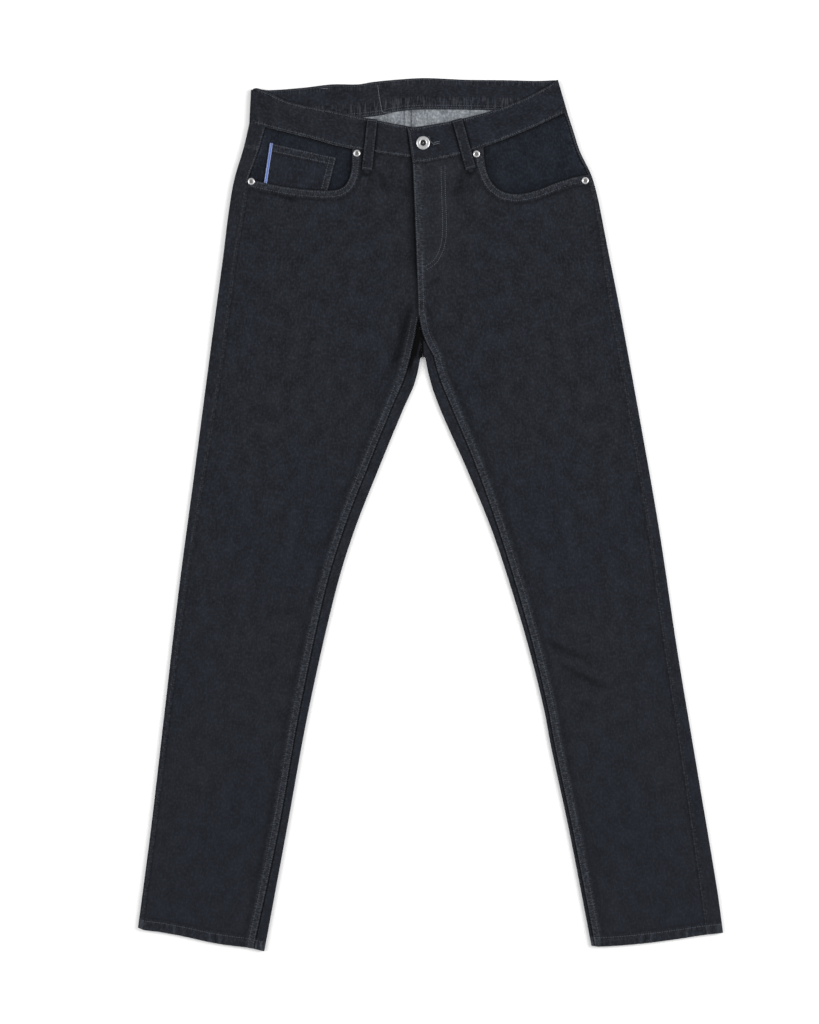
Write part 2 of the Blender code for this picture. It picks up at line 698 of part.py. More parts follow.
def plain_front_row(sheet, side, start, end, state):
    """A row of the front below the pocket mouth, from the outseam to its inner end."""
    points = [(mix(start[0], end[0], t), mix(start[1], end[1], t)) for t in front_fractions()]
    row = [top_pair(sheet, *point) for point in points]
    return row + closing_columns(sheet, side, points[-1], end, state)


def mouth_front_row(sheet, side, start, corner_at, end):
    """The row along the pocket mouth, from the side seam to the centre."""
    points = [start]
    for i in range(SCOOP_COLUMNS):
        points.append(scoop_point(side, corner_at * i / (SCOOP_COLUMNS - 1)))
    corner = points[-1]
    for i in range(1, FRONT_COLUMNS):
        t = i / FRONT_COLUMNS
        points.append((mix(corner[0], end[0], t), mix(corner[1], end[1], t)))
    row = [top_pair(sheet, *point) for point in points]
    return row + closing_columns(sheet, side, points[-1], end, "fly")


def upper_front_rows(sheet, side, corner_at, low_end):
    """Rows between the waistband and the mouth's corner, beside the pocket."""
    seam = WAIST_SEAM[side]
    top_x = SCOOP[side][-1].x
    corner = scoop_point(side, corner_at)
    top_y = LEVELS[side][0].front_y
    rows = []
    for i in range(UPPER_ROWS):
        t = i / UPPER_ROWS
        edge = scoop_point(side, mix(1.0, corner_at, t))
        end_y = mix(top_y, low_end[1], t)
        end = centre_gap(side, (centre_x(end_y), end_y))
        points = []
        for column in range(FRONT_COLUMNS):
            s = column / FRONT_COLUMNS
            along_x = mix(top_x, centre_x(top_y), s)
            seam_here = seam_y(seam, along_x) - SEAM_GAP / 2.0
            low_x = mix(corner[0], low_end[0], s)
            low_y = mix(corner[1], low_end[1], s)
            points.append((mix(along_x, low_x, t), mix(seam_here, low_y, t)))
        if i > 0:
            points[0] = edge
        if i == 0:
            end = (end[0], seam_y(seam, end[0]) - SEAM_GAP / 2.0)
        row = [top_pair(sheet, *point) for point in points]
        row += closing_columns(sheet, side, points[-1], end, "fly", seam if i == 0 else None)
        rows.append(row)
    return rows


def make_front(side):
    """Front panel with its curved pocket mouth, from the waistband to the hem."""
    sheet = Sheet()
    levels = LEVELS[side]
    corner_at = SCOOP_CORNER / (len(SCOOP[side]) - 1)
    outer, inset, front, _ = hip_row_ends(side, levels[MOUTH_LEVEL])
    start = step(outer, towards(outer, front), inset + SEAM_GAP)
    mouth = mouth_front_row(sheet, side, start, corner_at, centre_gap(side, front))
    sheet.rows(upper_front_rows(sheet, side, corner_at, front) + [mouth[SCOOP_COLUMNS:]])
    grid = [mouth]
    for level in levels[MOUTH_LEVEL + 1:FORK_LEVEL]:
        outer, inset, front, _ = hip_row_ends(side, level)
        start = step(outer, towards(outer, front), inset + SEAM_GAP)
        end = centre_gap(side, front)
        grid.append(plain_front_row(sheet, side, start, end, fly_state(level.front_y)))
    for cut in leg_cuts(side):
        way = towards(cut.outer, cut.front_end)
        start = step(cut.outer, way, cut.inset + SEAM_GAP)
        grid.append(plain_front_row(sheet, side, start, cut.front_end, "seam"))
    sheet.rows(grid)
    sheet.close(f"{side}_front")


def facing_drop(side, x, y):
    """How far the pocket facing lies below the front's upper side."""
    if side == "left":
        return LAYER
    inside = ease((fold_distance(x, y) - FACING_STEP_START) / FACING_STEP_WIDTH)
    return LAYER + LAYER * inside


def make_facing(side):
    """The cloth seen inside the pocket mouth, running on under the front."""
    sheet = Sheet()
    inwards = -side_sign(side)
    end_x = SCOOP[side][-1].x + inwards * FACING_MARGIN
    waist_start = outer_point(side, LEVELS[side][0].outer_y)
    start_x = waist_start[0][0] + inwards * (waist_start[1] + SEAM_GAP)
    grid = []
    for number, level in enumerate(LEVELS[side][:MOUTH_LEVEL + 2]):
        outer, inset, front, _ = hip_row_ends(side, level)
        if number == 0:
            start = (start_x, seam_y(WAIST_SEAM[side], start_x))
        else:
            start = step(outer, towards(outer, front), inset + SEAM_GAP)
        length = abs(end_x - start[0])
        places = list(FACING_PLACES)
        for i in range(1, FACING_COLUMNS + 1):
            places.append(mix(FACING_PLACES[-1], length, i / FACING_COLUMNS))
        end_y = level.front_y + FACING_RISE * (MOUTH_LEVEL + 1 - number)
        row = []
        for place_in in places:
            x = start[0] + inwards * place_in
            if number == 0:
                y = seam_y(WAIST_SEAM[side], x) - SEAM_GAP / 2.0
            else:
                y = mix(start[1], end_y, place_in / abs(front[0] - start[0]))
            row.append(top_pair(sheet, x, y, facing_drop(side, x, y)))
        grid.append(row)
    sheet.rows(grid)
    sheet.close(f"{side}_pocket_facing", "denim_facing")


def make_coin_pocket():
    """Small pocket on the wearer's right facing, its foot under the front."""
    sheet = Sheet()
    top_left, top_right, low_right, low_left = COIN_POCKET
    grid = []
    for i in range(COIN_STEPS + 1):
        t = i / COIN_STEPS
        a = (mix(top_left.x, low_left.x, t), mix(top_left.y, low_left.y, t))
        b = (mix(top_right.x, low_right.x, t), mix(top_right.y, low_right.y, t))
        row = []
        for j in range(COIN_STEPS + 1):
            s = j / COIN_STEPS
            row.append(top_pair(sheet, mix(a[0], b[0], s), mix(a[1], b[1], s), LAYER))
        grid.append(row)
    sheet.rows(grid)
    sheet.close("coin_pocket")


def band_point(part, s, v):
    """Point of the waistband: s along a stretch, v from the seam to the upper edge."""
    seam = WAIST_SEAM[part]
    top = WAIST_TOP[part]
    x_low = mix(*BAND_SPAN[part][0], s)
    x_high = mix(*BAND_SPAN[part][1], s)
    low = (x_low, seam_y(seam, x_low) + SEAM_GAP / 2.0)
    high = (x_high, seam_y(top, x_high))
    return mix(low[0], high[0], v), mix(low[1], high[1], v)


def band_corner(sheet, side, v):
    """The waistband's fold at a side of the waist."""
    edge = band_point(side, 0.0, v)
    front_s, back_s = BAND_AIM[side]
    front_way = towards(edge, band_point(side, front_s, v))
    back_way = towards(edge, band_point("back", back_s, v))
    return fold_pairs(sheet, edge, front_way, back_way, BAND_RADIUS, BAND_CLOTH)


def make_waistband():
    """One strip from the right end, under the button, round the back to the left end."""
    sheet = Sheet()
    grid = []
    for v in (0.0, 0.5, 1.0):
        row = []
        for s in reversed(BAND_PLACES["right"]):
            x, y = band_point("right", s, v)
            drop = (BAND_CLOTH + SEAM_GAP) * ease((x - BAND_STEP_X) / BAND_STEP_WIDTH)
            z = BAND_TOP - drop
            row.append(sheet.pair((x, y, z), (x, y, z - BAND_CLOTH)))
        row.extend(band_corner(sheet, "right", v))
        for s in BAND_PLACES["back"]:
            x, y = band_point("back", s, v)
            row.append(sheet.pair((x, y, SEAT_LIFT), (x, y, SEAT_LIFT + BAND_CLOTH)))
        row.extend(reversed(band_corner(sheet, "left", v)))
        for s in BAND_PLACES["left"]:
            x, y = band_point("left", s, v)
            row.append(sheet.pair((x, y, BAND_TOP), (x, y, BAND_TOP - BAND_CLOTH)))
        grid.append(row)
    sheet.rows(grid)
    sheet.close("waistband")


def make_strap(name, points):
    """A belt loop: a flat strip along points (x, y, z of its lower face)."""
    sheet = Sheet()
    grid = []
    for i, (x, y, z) in enumerate(points):
        a = points[max(i - 1, 0)]
        b = points[min(i + 1, len(points) - 1)]
        way = towards(a, b)
        row = []
        for half in (-LOOP_WIDTH / 2.0, LOOP_WIDTH / 2.0):
            px = x - way[1] * half
            py = y + way[0] * half
            row.append(sheet.pair((px, py, z + STRAP), (px, py, z)))
        grid.append(row)
    sheet.rows(grid)
    sheet.close(f"{name}_belt_loop")


def make_front_loop(side):
    """Belt loop over the front waistband and a little of the panel below."""
    high, low = FRONT_LOOPS[side]
    length = high.y - low.y
    seam = seam_y(WAIST_SEAM[side], mix(high.x, low.x, LOOP_SEAM_SHARE))
    above, below, foot = [seam + bend for bend in LOOP_BENDS]
    points = []
    for y, on_band in ((high.y, True), (above, True), (below, True), (foot, False),
                       (low.y, False)):
        x = mix(high.x, low.x, (high.y - y) / length)
        z = BAND_TOP + SEAM_GAP if on_band else top_z(x, y) + LOOP_LIFT
        points.append((x, y, z))
    make_strap(f"front_{side}", points)


def make_back_loop(name, ends):
    """Belt loop on the underside, flat on what the jeans lie on."""
    high, low = ends
    make_strap(name, [(high.x, high.y, 0.0), (low.x, low.y, 0.0)])


def make_back_pocket(side):
    """Patch pocket with a pointed foot, under the back panel."""
    x, y, turn = BACK_POCKET[side]
    outline = [(-BACK_POCKET_HALF_TOP, 0.0), (-BACK_POCKET_HALF_BOTTOM, -BACK_POCKET_SIDE),
               (0.0, -BACK_POCKET_POINT), (BACK_POCKET_HALF_BOTTOM, -BACK_POCKET_SIDE),
               (BACK_POCKET_HALF_TOP, 0.0)]
    c = math.cos(math.radians(turn))
    s = math.sin(math.radians(turn))
    bm = bmesh.new()
    face = bm.faces.new([bm.verts.new((x + c * px - s * py, y + s * px + c * py, 0.0))
                         for px, py in outline])
    raised = bmesh.ops.extrude_face_region(bm, geom=[face])
    verts = [item for item in raised["geom"] if isinstance(item, bmesh.types.BMVert)]
    bmesh.ops.translate(bm, vec=(0.0, 0.0, PATCH), verts=verts)
    place(bm, f"{side}_back_pocket", "denim")


def make_turned(name, profile, x, y, z, steps):
    """A round metal piece turned from its profile, standing on the cloth."""
    bm = bmesh.new()
    verts = [bm.verts.new((radius, 0.0, height)) for radius, height in profile]
    edges = [bm.edges.new(pair) for pair in zip(verts, verts[1:])]
    bmesh.ops.spin(bm, geom=verts + edges, cent=(0, 0, 0), axis=(0, 0, 1),
                   angle=2.0 * math.pi, steps=steps, use_merge=True, use_duplicate=False)
    bmesh.ops.remove_doubles(bm, verts=bm.verts, dist=0.001)
    bmesh.ops.translate(bm, vec=(x, y, z), verts=bm.verts)
    place(bm, name, "metal")


def make_metal():
    """The waist button and the four pocket rivets."""
    make_turned("button", BUTTON_PROFILE, BUTTON.x, BUTTON.y, BAND_TOP + SEAM_GAP,
                BUTTON_STEPS)
    radius = RIVET_PROFILE[1][0]
    for name, spot in RIVETS.items():
        rest = max(top_z(spot.x + reach, spot.y) for reach in (-radius, 0.0, radius))
        make_turned(name, RIVET_PROFILE, spot.x, spot.y, rest + SEAM_GAP, RIVET_STEPS)


def main():
    for item in list(bpy.data.objects):
        bpy.data.objects.remove(item, do_unlink=True)
    for side in ("right", "left"):
        make_back(side)
        make_yoke(side)
        make_front(side)
        make_facing(side)
        make_back_pocket(side)
        make_front_loop(side)
    make_coin_pocket()
    make_waistband()
    for name, ends in BACK_LOOPS.items():
        make_back_loop(name, ends)
    make_metal()


main()
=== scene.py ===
"""Selvedge jeans laid flat, front up: cloth, sewing, metal, light and camera."""

import math
from collections import namedtuple
from functools import partial, reduce

import bmesh
import bpy
import numpy as np
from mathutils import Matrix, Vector


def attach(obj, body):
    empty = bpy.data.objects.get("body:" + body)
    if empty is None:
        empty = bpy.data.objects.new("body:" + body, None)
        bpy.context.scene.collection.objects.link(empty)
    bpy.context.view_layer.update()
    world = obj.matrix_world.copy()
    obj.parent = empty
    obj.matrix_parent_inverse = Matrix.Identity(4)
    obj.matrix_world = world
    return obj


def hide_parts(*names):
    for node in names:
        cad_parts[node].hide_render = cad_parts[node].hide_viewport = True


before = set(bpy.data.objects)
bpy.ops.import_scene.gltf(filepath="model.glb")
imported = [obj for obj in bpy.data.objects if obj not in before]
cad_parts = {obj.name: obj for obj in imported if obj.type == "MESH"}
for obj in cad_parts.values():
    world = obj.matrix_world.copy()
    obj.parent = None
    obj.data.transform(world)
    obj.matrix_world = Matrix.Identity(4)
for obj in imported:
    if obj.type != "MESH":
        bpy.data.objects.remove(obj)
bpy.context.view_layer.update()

# Lengths in the tables are in millimetres, and meshes are in metres
MM = 0.001
SIDES = ("right", "left")

# Sizes shared with the solids
CLOTH = 1.2
SEAM_GAP = 0.3
LAYER = CLOTH + SEAM_GAP
BAND_CLOTH = 2.4
BAND_HEIGHT = 41.0
HEM_CLOTH = 2.4
HEM_HEIGHT = 14.0
STRAP = 1.3
PATCH = 1.3
LOOP_WIDTH = 13.0
FOLD_RADIUS = 3.1
BAND_RADIUS = 3.3
FOLD_REACH = 24.0
SEAT_LIFT = PATCH + SEAM_GAP
SEAT_LIFT_FULL_Y = 275.0
SEAT_LIFT_NONE_Y = 180.0
HIP_MIDDLE = 5.7
LEG_MIDDLE = 3.2
HEM_MIDDLE = 5.4
HIP_MIDDLE_Y = 388.0
LEG_MIDDLE_Y = 205.0
HEM_STEP = 3.0
HEM_REACH = 34.0
HEM_BOW_REACH = 60.0
BAND_TOP = SEAT_LIFT + 2.0 * BAND_RADIUS

Edge = namedtuple("Edge", "y x seam_inset")
Seam = namedtuple("Seam", "x y")
Middle = namedtuple("Middle", "y x")
Level = namedtuple("Level", "place outer_y front_y back_y")
Bow = namedtuple("Bow", "share drop")
Fold = namedtuple("Fold", "x0 y0 x1 y1 width height")
Crease = namedtuple("Crease", "points width depth tone")

# The folded outer and inner edges of the legs
OUTER_EDGE = {
    "right": [
        Edge(508.0, -235.3, 21.5), Edge(476.5, -242.5, 20.0), Edge(434.9, -254.8, 18.0),
        Edge(393.3, -262.0, 18.5), Edge(330.9, -269.8, 15.5), Edge(206.1, -286.7, 16.0),
        Edge(57.9, -306.2, 12.0), Edge(-98.2, -327.0, 8.0), Edge(-254.2, -345.2, 5.5),
        Edge(-410.2, -363.4, 4.2), Edge(-536.3, -380.0, 4.0)],
    "left": [
        Edge(522.7, 177.4, 4.0), Edge(497.3, 185.6, 4.0), Edge(471.0, 194.2, 4.0),
        Edge(441.0, 208.6, 4.0), Edge(414.1, 216.4, 4.0), Edge(388.0, 221.9, 4.3),
        Edge(357.0, 227.8, 5.2), Edge(315.0, 236.2, 7.8), Edge(268.5, 245.4, 10.0),
        Edge(135.9, 269.8, 11.0), Edge(-20.2, 297.1, 13.0), Edge(-176.2, 320.5, 14.0),
        Edge(-332.2, 346.5, 16.0), Edge(-488.2, 372.5, 19.5), Edge(-542.8, 380.0, 20.0)],
}
INNER_EDGE = {
    "right": [
        Edge(202.6, -14.8, 13.0), Edge(174.9, -18.9, 14.5), Edge(135.9, -35.8, 14.0),
        Edge(57.9, -68.0, 13.5), Edge(-20.2, -98.7, 13.0), Edge(-98.2, -122.8, 13.0),
        Edge(-254.2, -158.3, 11.0), Edge(-410.2, -186.8, 10.0), Edge(-567.0, -215.8, 14.0)],
    "left": [
        Edge(202.6, -7.9, 10.5), Edge(174.9, -1.0, 12.0), Edge(135.9, 13.0, 14.0),
        Edge(57.9, 47.6, 12.0), Edge(-20.2, 79.6, 8.0), Edge(-98.2, 105.5, 6.5),
        Edge(-176.2, 128.4, 5.5), Edge(-254.2, 147.6, 4.5), Edge(-300.0, 156.2, 4.3),
        Edge(-410.2, 179.9, 4.0), Edge(-560.0, 209.0, 4.0)],
}

# The fork, and the two front seams that part above it
FORK_X = -10.0
FORK_Y = 204.8
FORK_RADIUS = 3.6
FORK_LEAN = -4.5
FORK_TURN = 72.0
FORK_DROP = 34.0
FORK_SEAM = {
    "right": [Seam(-15.7, 256.8), Seam(-18.7, 239.9), Seam(-22.3, 221.5), Seam(-25.5, 206.3)],
    "left": [Seam(-15.1, 256.8), Seam(-11.9, 239.9), Seam(-5.6, 222.0), Seam(3.7, 205.5)],
}
FORK_BLEND = 0.05
BASE_INSET = 18.0
CENTRE = [Middle(525.0, -27.0), Middle(458.0, -23.2), Middle(357.0, -18.9),
          Middle(292.0, -16.6), Middle(256.8, -15.4), Middle(222.7, -11.4)]

# The waistband's seam and upper edge
WAIST_SEAM = {
    "right": [Seam(-235.3, 508.0), Seam(-163.2, 490.4), Seam(-119.0, 478.5),
              Seam(-71.6, 469.6), Seam(-23.2, 463.0), Seam(8.0, 462.0)],
    "left": [Seam(-30.0, 455.5), Seam(-8.0, 457.0), Seam(41.0, 467.4), Seam(67.9, 477.0),
             Seam(99.5, 488.2), Seam(130.7, 501.2), Seam(177.4, 522.7)],
    "back": [Seam(-235.3, 508.0), Seam(-150.0, 511.0), Seam(-100.0, 514.6),
             Seam(-65.7, 518.2), Seam(-46.0, 522.8), Seam(-20.0, 525.6), Seam(10.0, 526.0),
             Seam(40.0, 525.8), Seam(100.0, 524.6), Seam(177.4, 522.7)],
}
WAIST_TOP = {
    "right": [Seam(-233.2, 551.0), Seam(-225.5, 553.2), Seam(-213.0, 548.4),
              Seam(-181.9, 534.6), Seam(-129.9, 524.0), Seam(-80.0, 513.5),
              Seam(-29.3, 504.0), Seam(8.0, 500.5)],
    "left": [Seam(-30.0, 500.9), Seam(28.5, 510.6), Seam(55.3, 517.1), Seam(82.0, 524.6),
             Seam(122.9, 540.2), Seam(146.3, 552.5), Seam(165.4, 564.3)],
    "back": [Seam(-233.2, 551.0), Seam(-225.5, 553.2), Seam(-211.0, 551.3),
             Seam(-165.8, 554.4), Seam(-128.0, 558.8), Seam(-93.0, 558.9),
             Seam(-76.0, 561.8), Seam(-46.0, 564.8), Seam(-10.0, 567.0), Seam(22.0, 565.9),
             Seam(46.0, 564.8), Seam(100.0, 564.2), Seam(138.5, 563.3), Seam(165.4, 564.3)],
}
BAND_SPAN = {
    "right": ((-235.3, 6.0), (-233.2, 6.0)),
    "left": ((177.4, -23.0), (165.4, -29.9)),
    "back": ((-235.3, 177.4), (-233.2, 165.4)),
}
BAND_ENDS = {"right": (0.0137, 1.0), "left": (0.0165, 1.0), "back": (0.008, 0.992)}
BAND_AIM = {"right": (0.08, 0.05), "left": (0.08, 0.95)}
BAND_STEP_X = -34.0
BAND_STEP_WIDTH = 7.0

# Places down a leg, with the heights at which the hip is cut across
LEVELS = {
    "right": [Level(0, 508.0, 463.0, 525.0), Level(1, 478.0, 441.0, 458.0),
              Level(2, 436.5, 421.0, 424.0), Level(3, 402.0, 388.0, 390.0),
              Level(4, 370.0, 355.0, 356.0), Level(5, 338.0, 322.0, 322.0),
              Level(6, 308.0, 297.0, 290.0), Level(7, 280.0, 276.0, 258.0),
              Level(8, 254.0, 256.8, 222.7)],
    "left": [Level(0, 522.7, 456.0, 525.0), Level(1, 492.0, 439.0, 458.0),
             Level(2, 441.0, 421.0, 424.0), Level(3, 404.0, 388.0, 390.0),
             Level(4, 371.0, 355.0, 356.0), Level(5, 338.0, 322.0, 322.0),
             Level(6, 308.0, 297.0, 290.0), Level(7, 280.0, 276.0, 258.0),
             Level(8, 254.0, 256.8, 222.7)],
}
YOKE_PLACE = 1.0
MOUTH_PLACE = 2.0
FACING_PLACE = 3.0
FORK_PLACE = 8.0
LEG_PLACE = 9.0
HEM_PLACE = 10.0

# Pocket mouths, coin pocket, fly and the hems' rounded lines
SCOOP = {
    "right": [Seam(-213.3, 429.7), Seam(-189.8, 425.0), Seam(-160.0, 421.3),
              Seam(-132.0, 420.0), Seam(-116.0, 423.2), Seam(-107.5, 431.5),
              Seam(-103.0, 444.5), Seam(-101.5, 459.6)],
    "left": [Seam(184.0, 437.0), Seam(163.0, 430.0), Seam(138.0, 420.5),
             Seam(115.1, 415.6), Seam(97.0, 417.6), Seam(84.5, 425.0),
             Seam(75.5, 437.5), Seam(68.5, 458.0)],
}
SCOOP_CORNER = 5
SCOOP_LEAD_IN = 0.12
FACING_MARGIN = 14.0
FACING_RISE = 4.0
COIN_POCKET = [(-206.5, 481.5), (-122.5, 463.0), (-138.0, 404.0), (-217.0, 411.0)]
SELVEDGE_WIDTH = 3.8
SELVEDGE_CLOTH = 0.3
SELVEDGE_LENGTH = 68.0
FLY_DROP = LAYER + 0.5
FLY_UNDERLAP = 9.0
FLY_STEP_START = 6.0
FLY_STEP_END = 2.0
FLY_FOOT_Y = 322.0
FLY_FADE = 33.0
HEM_BOW = {
    "right": [Bow(0.0, 0.0), Bow(0.06, 1.4), Bow(0.16, 0.3), Bow(0.36, 0.1), Bow(0.5, 1.0),
              Bow(0.63, 1.3), Bow(0.76, 0.3), Bow(0.89, -1.0), Bow(1.0, 0.0)],
    "left": [Bow(0.0, 0.0), Bow(0.16, 0.5), Bow(0.34, 2.3), Bow(0.6, 3.7), Bow(0.83, 3.2),
             Bow(0.94, 2.0), Bow(1.0, 0.0)],
}

# Back pockets, belt loops, button and rivets
BACK_POCKET = {"right": (-132.0, 448.0, 4.0), "left": (94.0, 449.0, -4.0)}
BACK_POCKET_HALF_TOP = 78.0
BACK_POCKET_HALF_BOTTOM = 70.0
BACK_POCKET_SIDE = 140.0
BACK_POCKET_POINT = 164.0
FRONT_LOOPS = {"right": (Seam(-75.4, 513.0), Seam(-82.6, 447.0)),
               "left": (Seam(34.4, 512.5), Seam(52.1, 448.5))}
BACK_LOOPS = {"back_centre": ((-27.0, 565.0), (-27.0, 511.0)),
              "back_right": ((-156.0, 555.0), (-151.0, 500.0)),
              "back_left": ((104.0, 563.0), (100.0, 511.0))}
BUTTON = Seam(-9.6, 481.5)
RIVETS = {"right_inner_rivet": Seam(-95.6, 468.6), "left_inner_rivet": Seam(59.6, 467.6),
          "right_outer_rivet": Seam(-232.5, 432.0), "left_outer_rivet": Seam(200.6, 433.0)}

# The largest soft folds, which the solids have too
FOLDS = [
    Fold(-19.0, 300.0, -34.0, 243.0, 16.0, -1.2),
    Fold(-34.0, 243.0, -52.0, 190.0, 15.0, -0.4),
    Fold(-15.0, 252.0, -22.0, 180.0, 9.0, -1.0),
    Fold(34.0, 440.0, 33.0, 285.0, 9.0, 0.6),
    Fold(142.0, -154.0, 212.0, -190.0, 16.0, 1.1),
    Fold(166.0, -186.0, 230.0, -226.0, 15.0, 0.9),
    Fold(-236.0, 342.0, -226.0, 250.0, 11.0, 0.7),
    Fold(-152.0, -108.0, -212.0, -124.0, 13.0, 0.8),
]

# Creases: troughs and ridges, and how dark the painted shade in them is
CREASES = [
    Crease([(-19.2, 284.0), (-25.0, 268.5), (-33.7, 243.8), (-41.0, 212.6),
            (-59.2, 168.4)], 10.5, -0.9, 0.72),
    Crease([(-215.2, 420.5), (-188.0, 411.0), (-160.6, 404.4)], 5.5, -0.5, 0.6),
    Crease([(142.4, -156.7), (165.0, -172.0), (187.9, -182.7),
            (214.0, -189.0)], 7.0, -0.8, 0.42),
    Crease([(163.2, -189.2), (188.0, -206.0), (211.3, -217.8),
            (243.8, -230.8)], 7.5, -0.8, 0.42),
    Crease([(174.9, -234.7), (200.0, -248.0), (220.4, -256.8)], 8.0, -0.5, 0.26),
    Crease([(-2.0, 299.7), (8.0, 303.0), (17.6, 307.5)], 6.5, -0.4, 0.36),
    Crease([(28.0, 283.0), (55.0, 283.0), (85.0, 284.5)], 5.0, -0.3, 0.2),
    Crease([(39.7, 162.0), (66.0, 166.0), (95.0, 171.0)], 7.0, -0.4, 0.24),
    Crease([(196.0, -418.0), (214.0, -440.0), (238.0, -448.0)], 12.0, -0.5, 0.2),
    Crease([(-166.0, -120.0), (-196.0, -128.0), (-226.0, -126.0)], 9.0, -0.4, 0.1),
    Crease([(-46.0, 150.0), (-88.0, 60.0), (-124.0, -40.0)], 10.0, -0.3, 0.12),
    Crease([(30.0, 130.0), (66.0, 50.0), (98.0, -30.0)], 10.0, -0.3, 0.1),
    Crease([(44.0, 452.0), (40.0, 430.0), (36.0, 404.0)], 9.0, -0.4, 0.36),
    Crease([(-70.0, 452.0), (-62.0, 434.0), (-58.0, 412.0)], 9.0, -0.4, 0.36),
]

# Sewing
FELL_WIDTH = 10.0
MOUTH_BAND = 9.6
RISE_BAND = 9.4
FELL_ROWS = (1.9, 8.2)
MOUTH_ROWS = (1.8, 8.0)
PLAIN_ROWS = (2.0, 8.0)
HEM_ROW = 11.6
HEM_ROW_END = 3.6
STITCH_PITCH = 3.0
STITCH_LENGTH = 2.4
STITCH_WIDTH = 0.72
STITCH_HEIGHT = 0.42
PUCKER_PERIOD = 7.4


# Sums used all over


def side_sign(side):
    """-1 for the wearer's right leg, which lies on the -X side, else 1."""
    return -1.0 if side == "right" else 1.0


def ease(value):
    """Smooth step from 0 to 1."""
    t = np.clip(value, 0.0, 1.0)
    return t * t * (3.0 - 2.0 * t)


def fade(value, start, width):
    """1 up to a start, falling to 0 over a width."""
    return 1.0 - ease((value - start) / width)


def lifted(flat, z):
    """Flat points with their heights."""
    return np.concatenate([flat, z[..., None]], -1)


def beside(away, width):
    """1 on a line, falling to 0 at a width from it."""
    return 1.0 - ease(away / width)


def ridge(away, place, width):
    """A rounded ridge, 1 high, at a place."""
    return np.exp(-((away - place) / width) ** 2)


def stitch_rows(away, near, far):
    """Two narrow grooves in which rows of stitches lie."""
    return ridge(away, near, 0.7) + ridge(away, far, 0.7)


def deepest(*shades):
    """The darkest of several shades at each point."""
    return reduce(np.maximum, shades)


def mix(a, b, t):
    """Between a at 0 and b at 1."""
    return a + (b - a) * t


def unit(vector):
    """Vectors made 1 long."""
    return vector / np.linalg.norm(vector, axis=-1, keepdims=True)


def curve(rows, at):
    """Value columns of a table at places along its first column, as smooth curves."""
    data = np.array([tuple(row) for row in rows], float)
    if data[0, 0] > data[-1, 0]:
        data = data[::-1]
    keys = data[:, 0]
    at = np.asarray(at, float)
    i = np.clip(np.searchsorted(keys, at, side="right") - 1, 0, len(keys) - 2)
    lo = np.maximum(np.arange(len(keys)) - 1, 0)
    hi = np.minimum(np.arange(len(keys)) + 1, len(keys) - 1)
    slopes = (data[hi, 1:] - data[lo, 1:]) / (keys[hi] - keys[lo])[:, None]
    span = (keys[i + 1] - keys[i])[..., None]
    t = ((at - keys[i]) / span[..., 0])[..., None]
    a = data[i, 1:]
    b = data[i + 1, 1:]
    result = ((2 * t ** 3 - 3 * t ** 2 + 1) * a + (t ** 3 - 2 * t ** 2 + t) * slopes[i] * span
              + (3 * t ** 2 - 2 * t ** 3) * b + (t ** 3 - t ** 2) * slopes[i + 1] * span)
    return [result[..., column] for column in range(result.shape[-1])]


def along_points(points, at):
    """Places on a smooth line through points, at 0 for the first, 1 for the next."""
    rows = [(i, *point) for i, point in enumerate(points)]
    return np.stack(curve(rows, at), -1)


# The outline and the seams, seen from above


def outer_point(side, y):
    """Points of the folded outer edge at heights y, and the outseam's inset."""
    x, inset = curve(OUTER_EDGE[side], y)
    return np.stack([x, np.broadcast_to(y, x.shape)], -1), inset


def inner_point(side, y):
    """Points of the folded inner edge at heights y, and points of the inseam."""
    x, inset = curve(INNER_EDGE[side], y)
    slope = (curve(INNER_EDGE[side], y + 1.0)[0] - curve(INNER_EDGE[side], y - 1.0)[0]) / 2.0
    sign = side_sign(side)
    way = unit(np.stack([sign + 0.0 * slope, -sign * slope], -1))
    edge = np.stack([x, np.broadcast_to(y, x.shape)], -1)
    return edge, edge + way * inset[..., None]


def fork_point(angle):
    """Points of the rounded fork at angles from +Y."""
    lean = math.radians(FORK_LEAN)
    turn = np.radians(angle)
    return np.stack([FORK_X + FORK_RADIUS * (np.sin(turn) - math.sin(lean)),
                     FORK_Y + FORK_RADIUS * (np.cos(turn) - math.cos(lean))], -1)


def centre_x(y):
    """Where the centre front and back seams lie at a height."""
    return curve(CENTRE, y)[0]


def seam_y(table, x):
    """Height of a seam or edge across the waist."""
    return curve(table, x)[0]


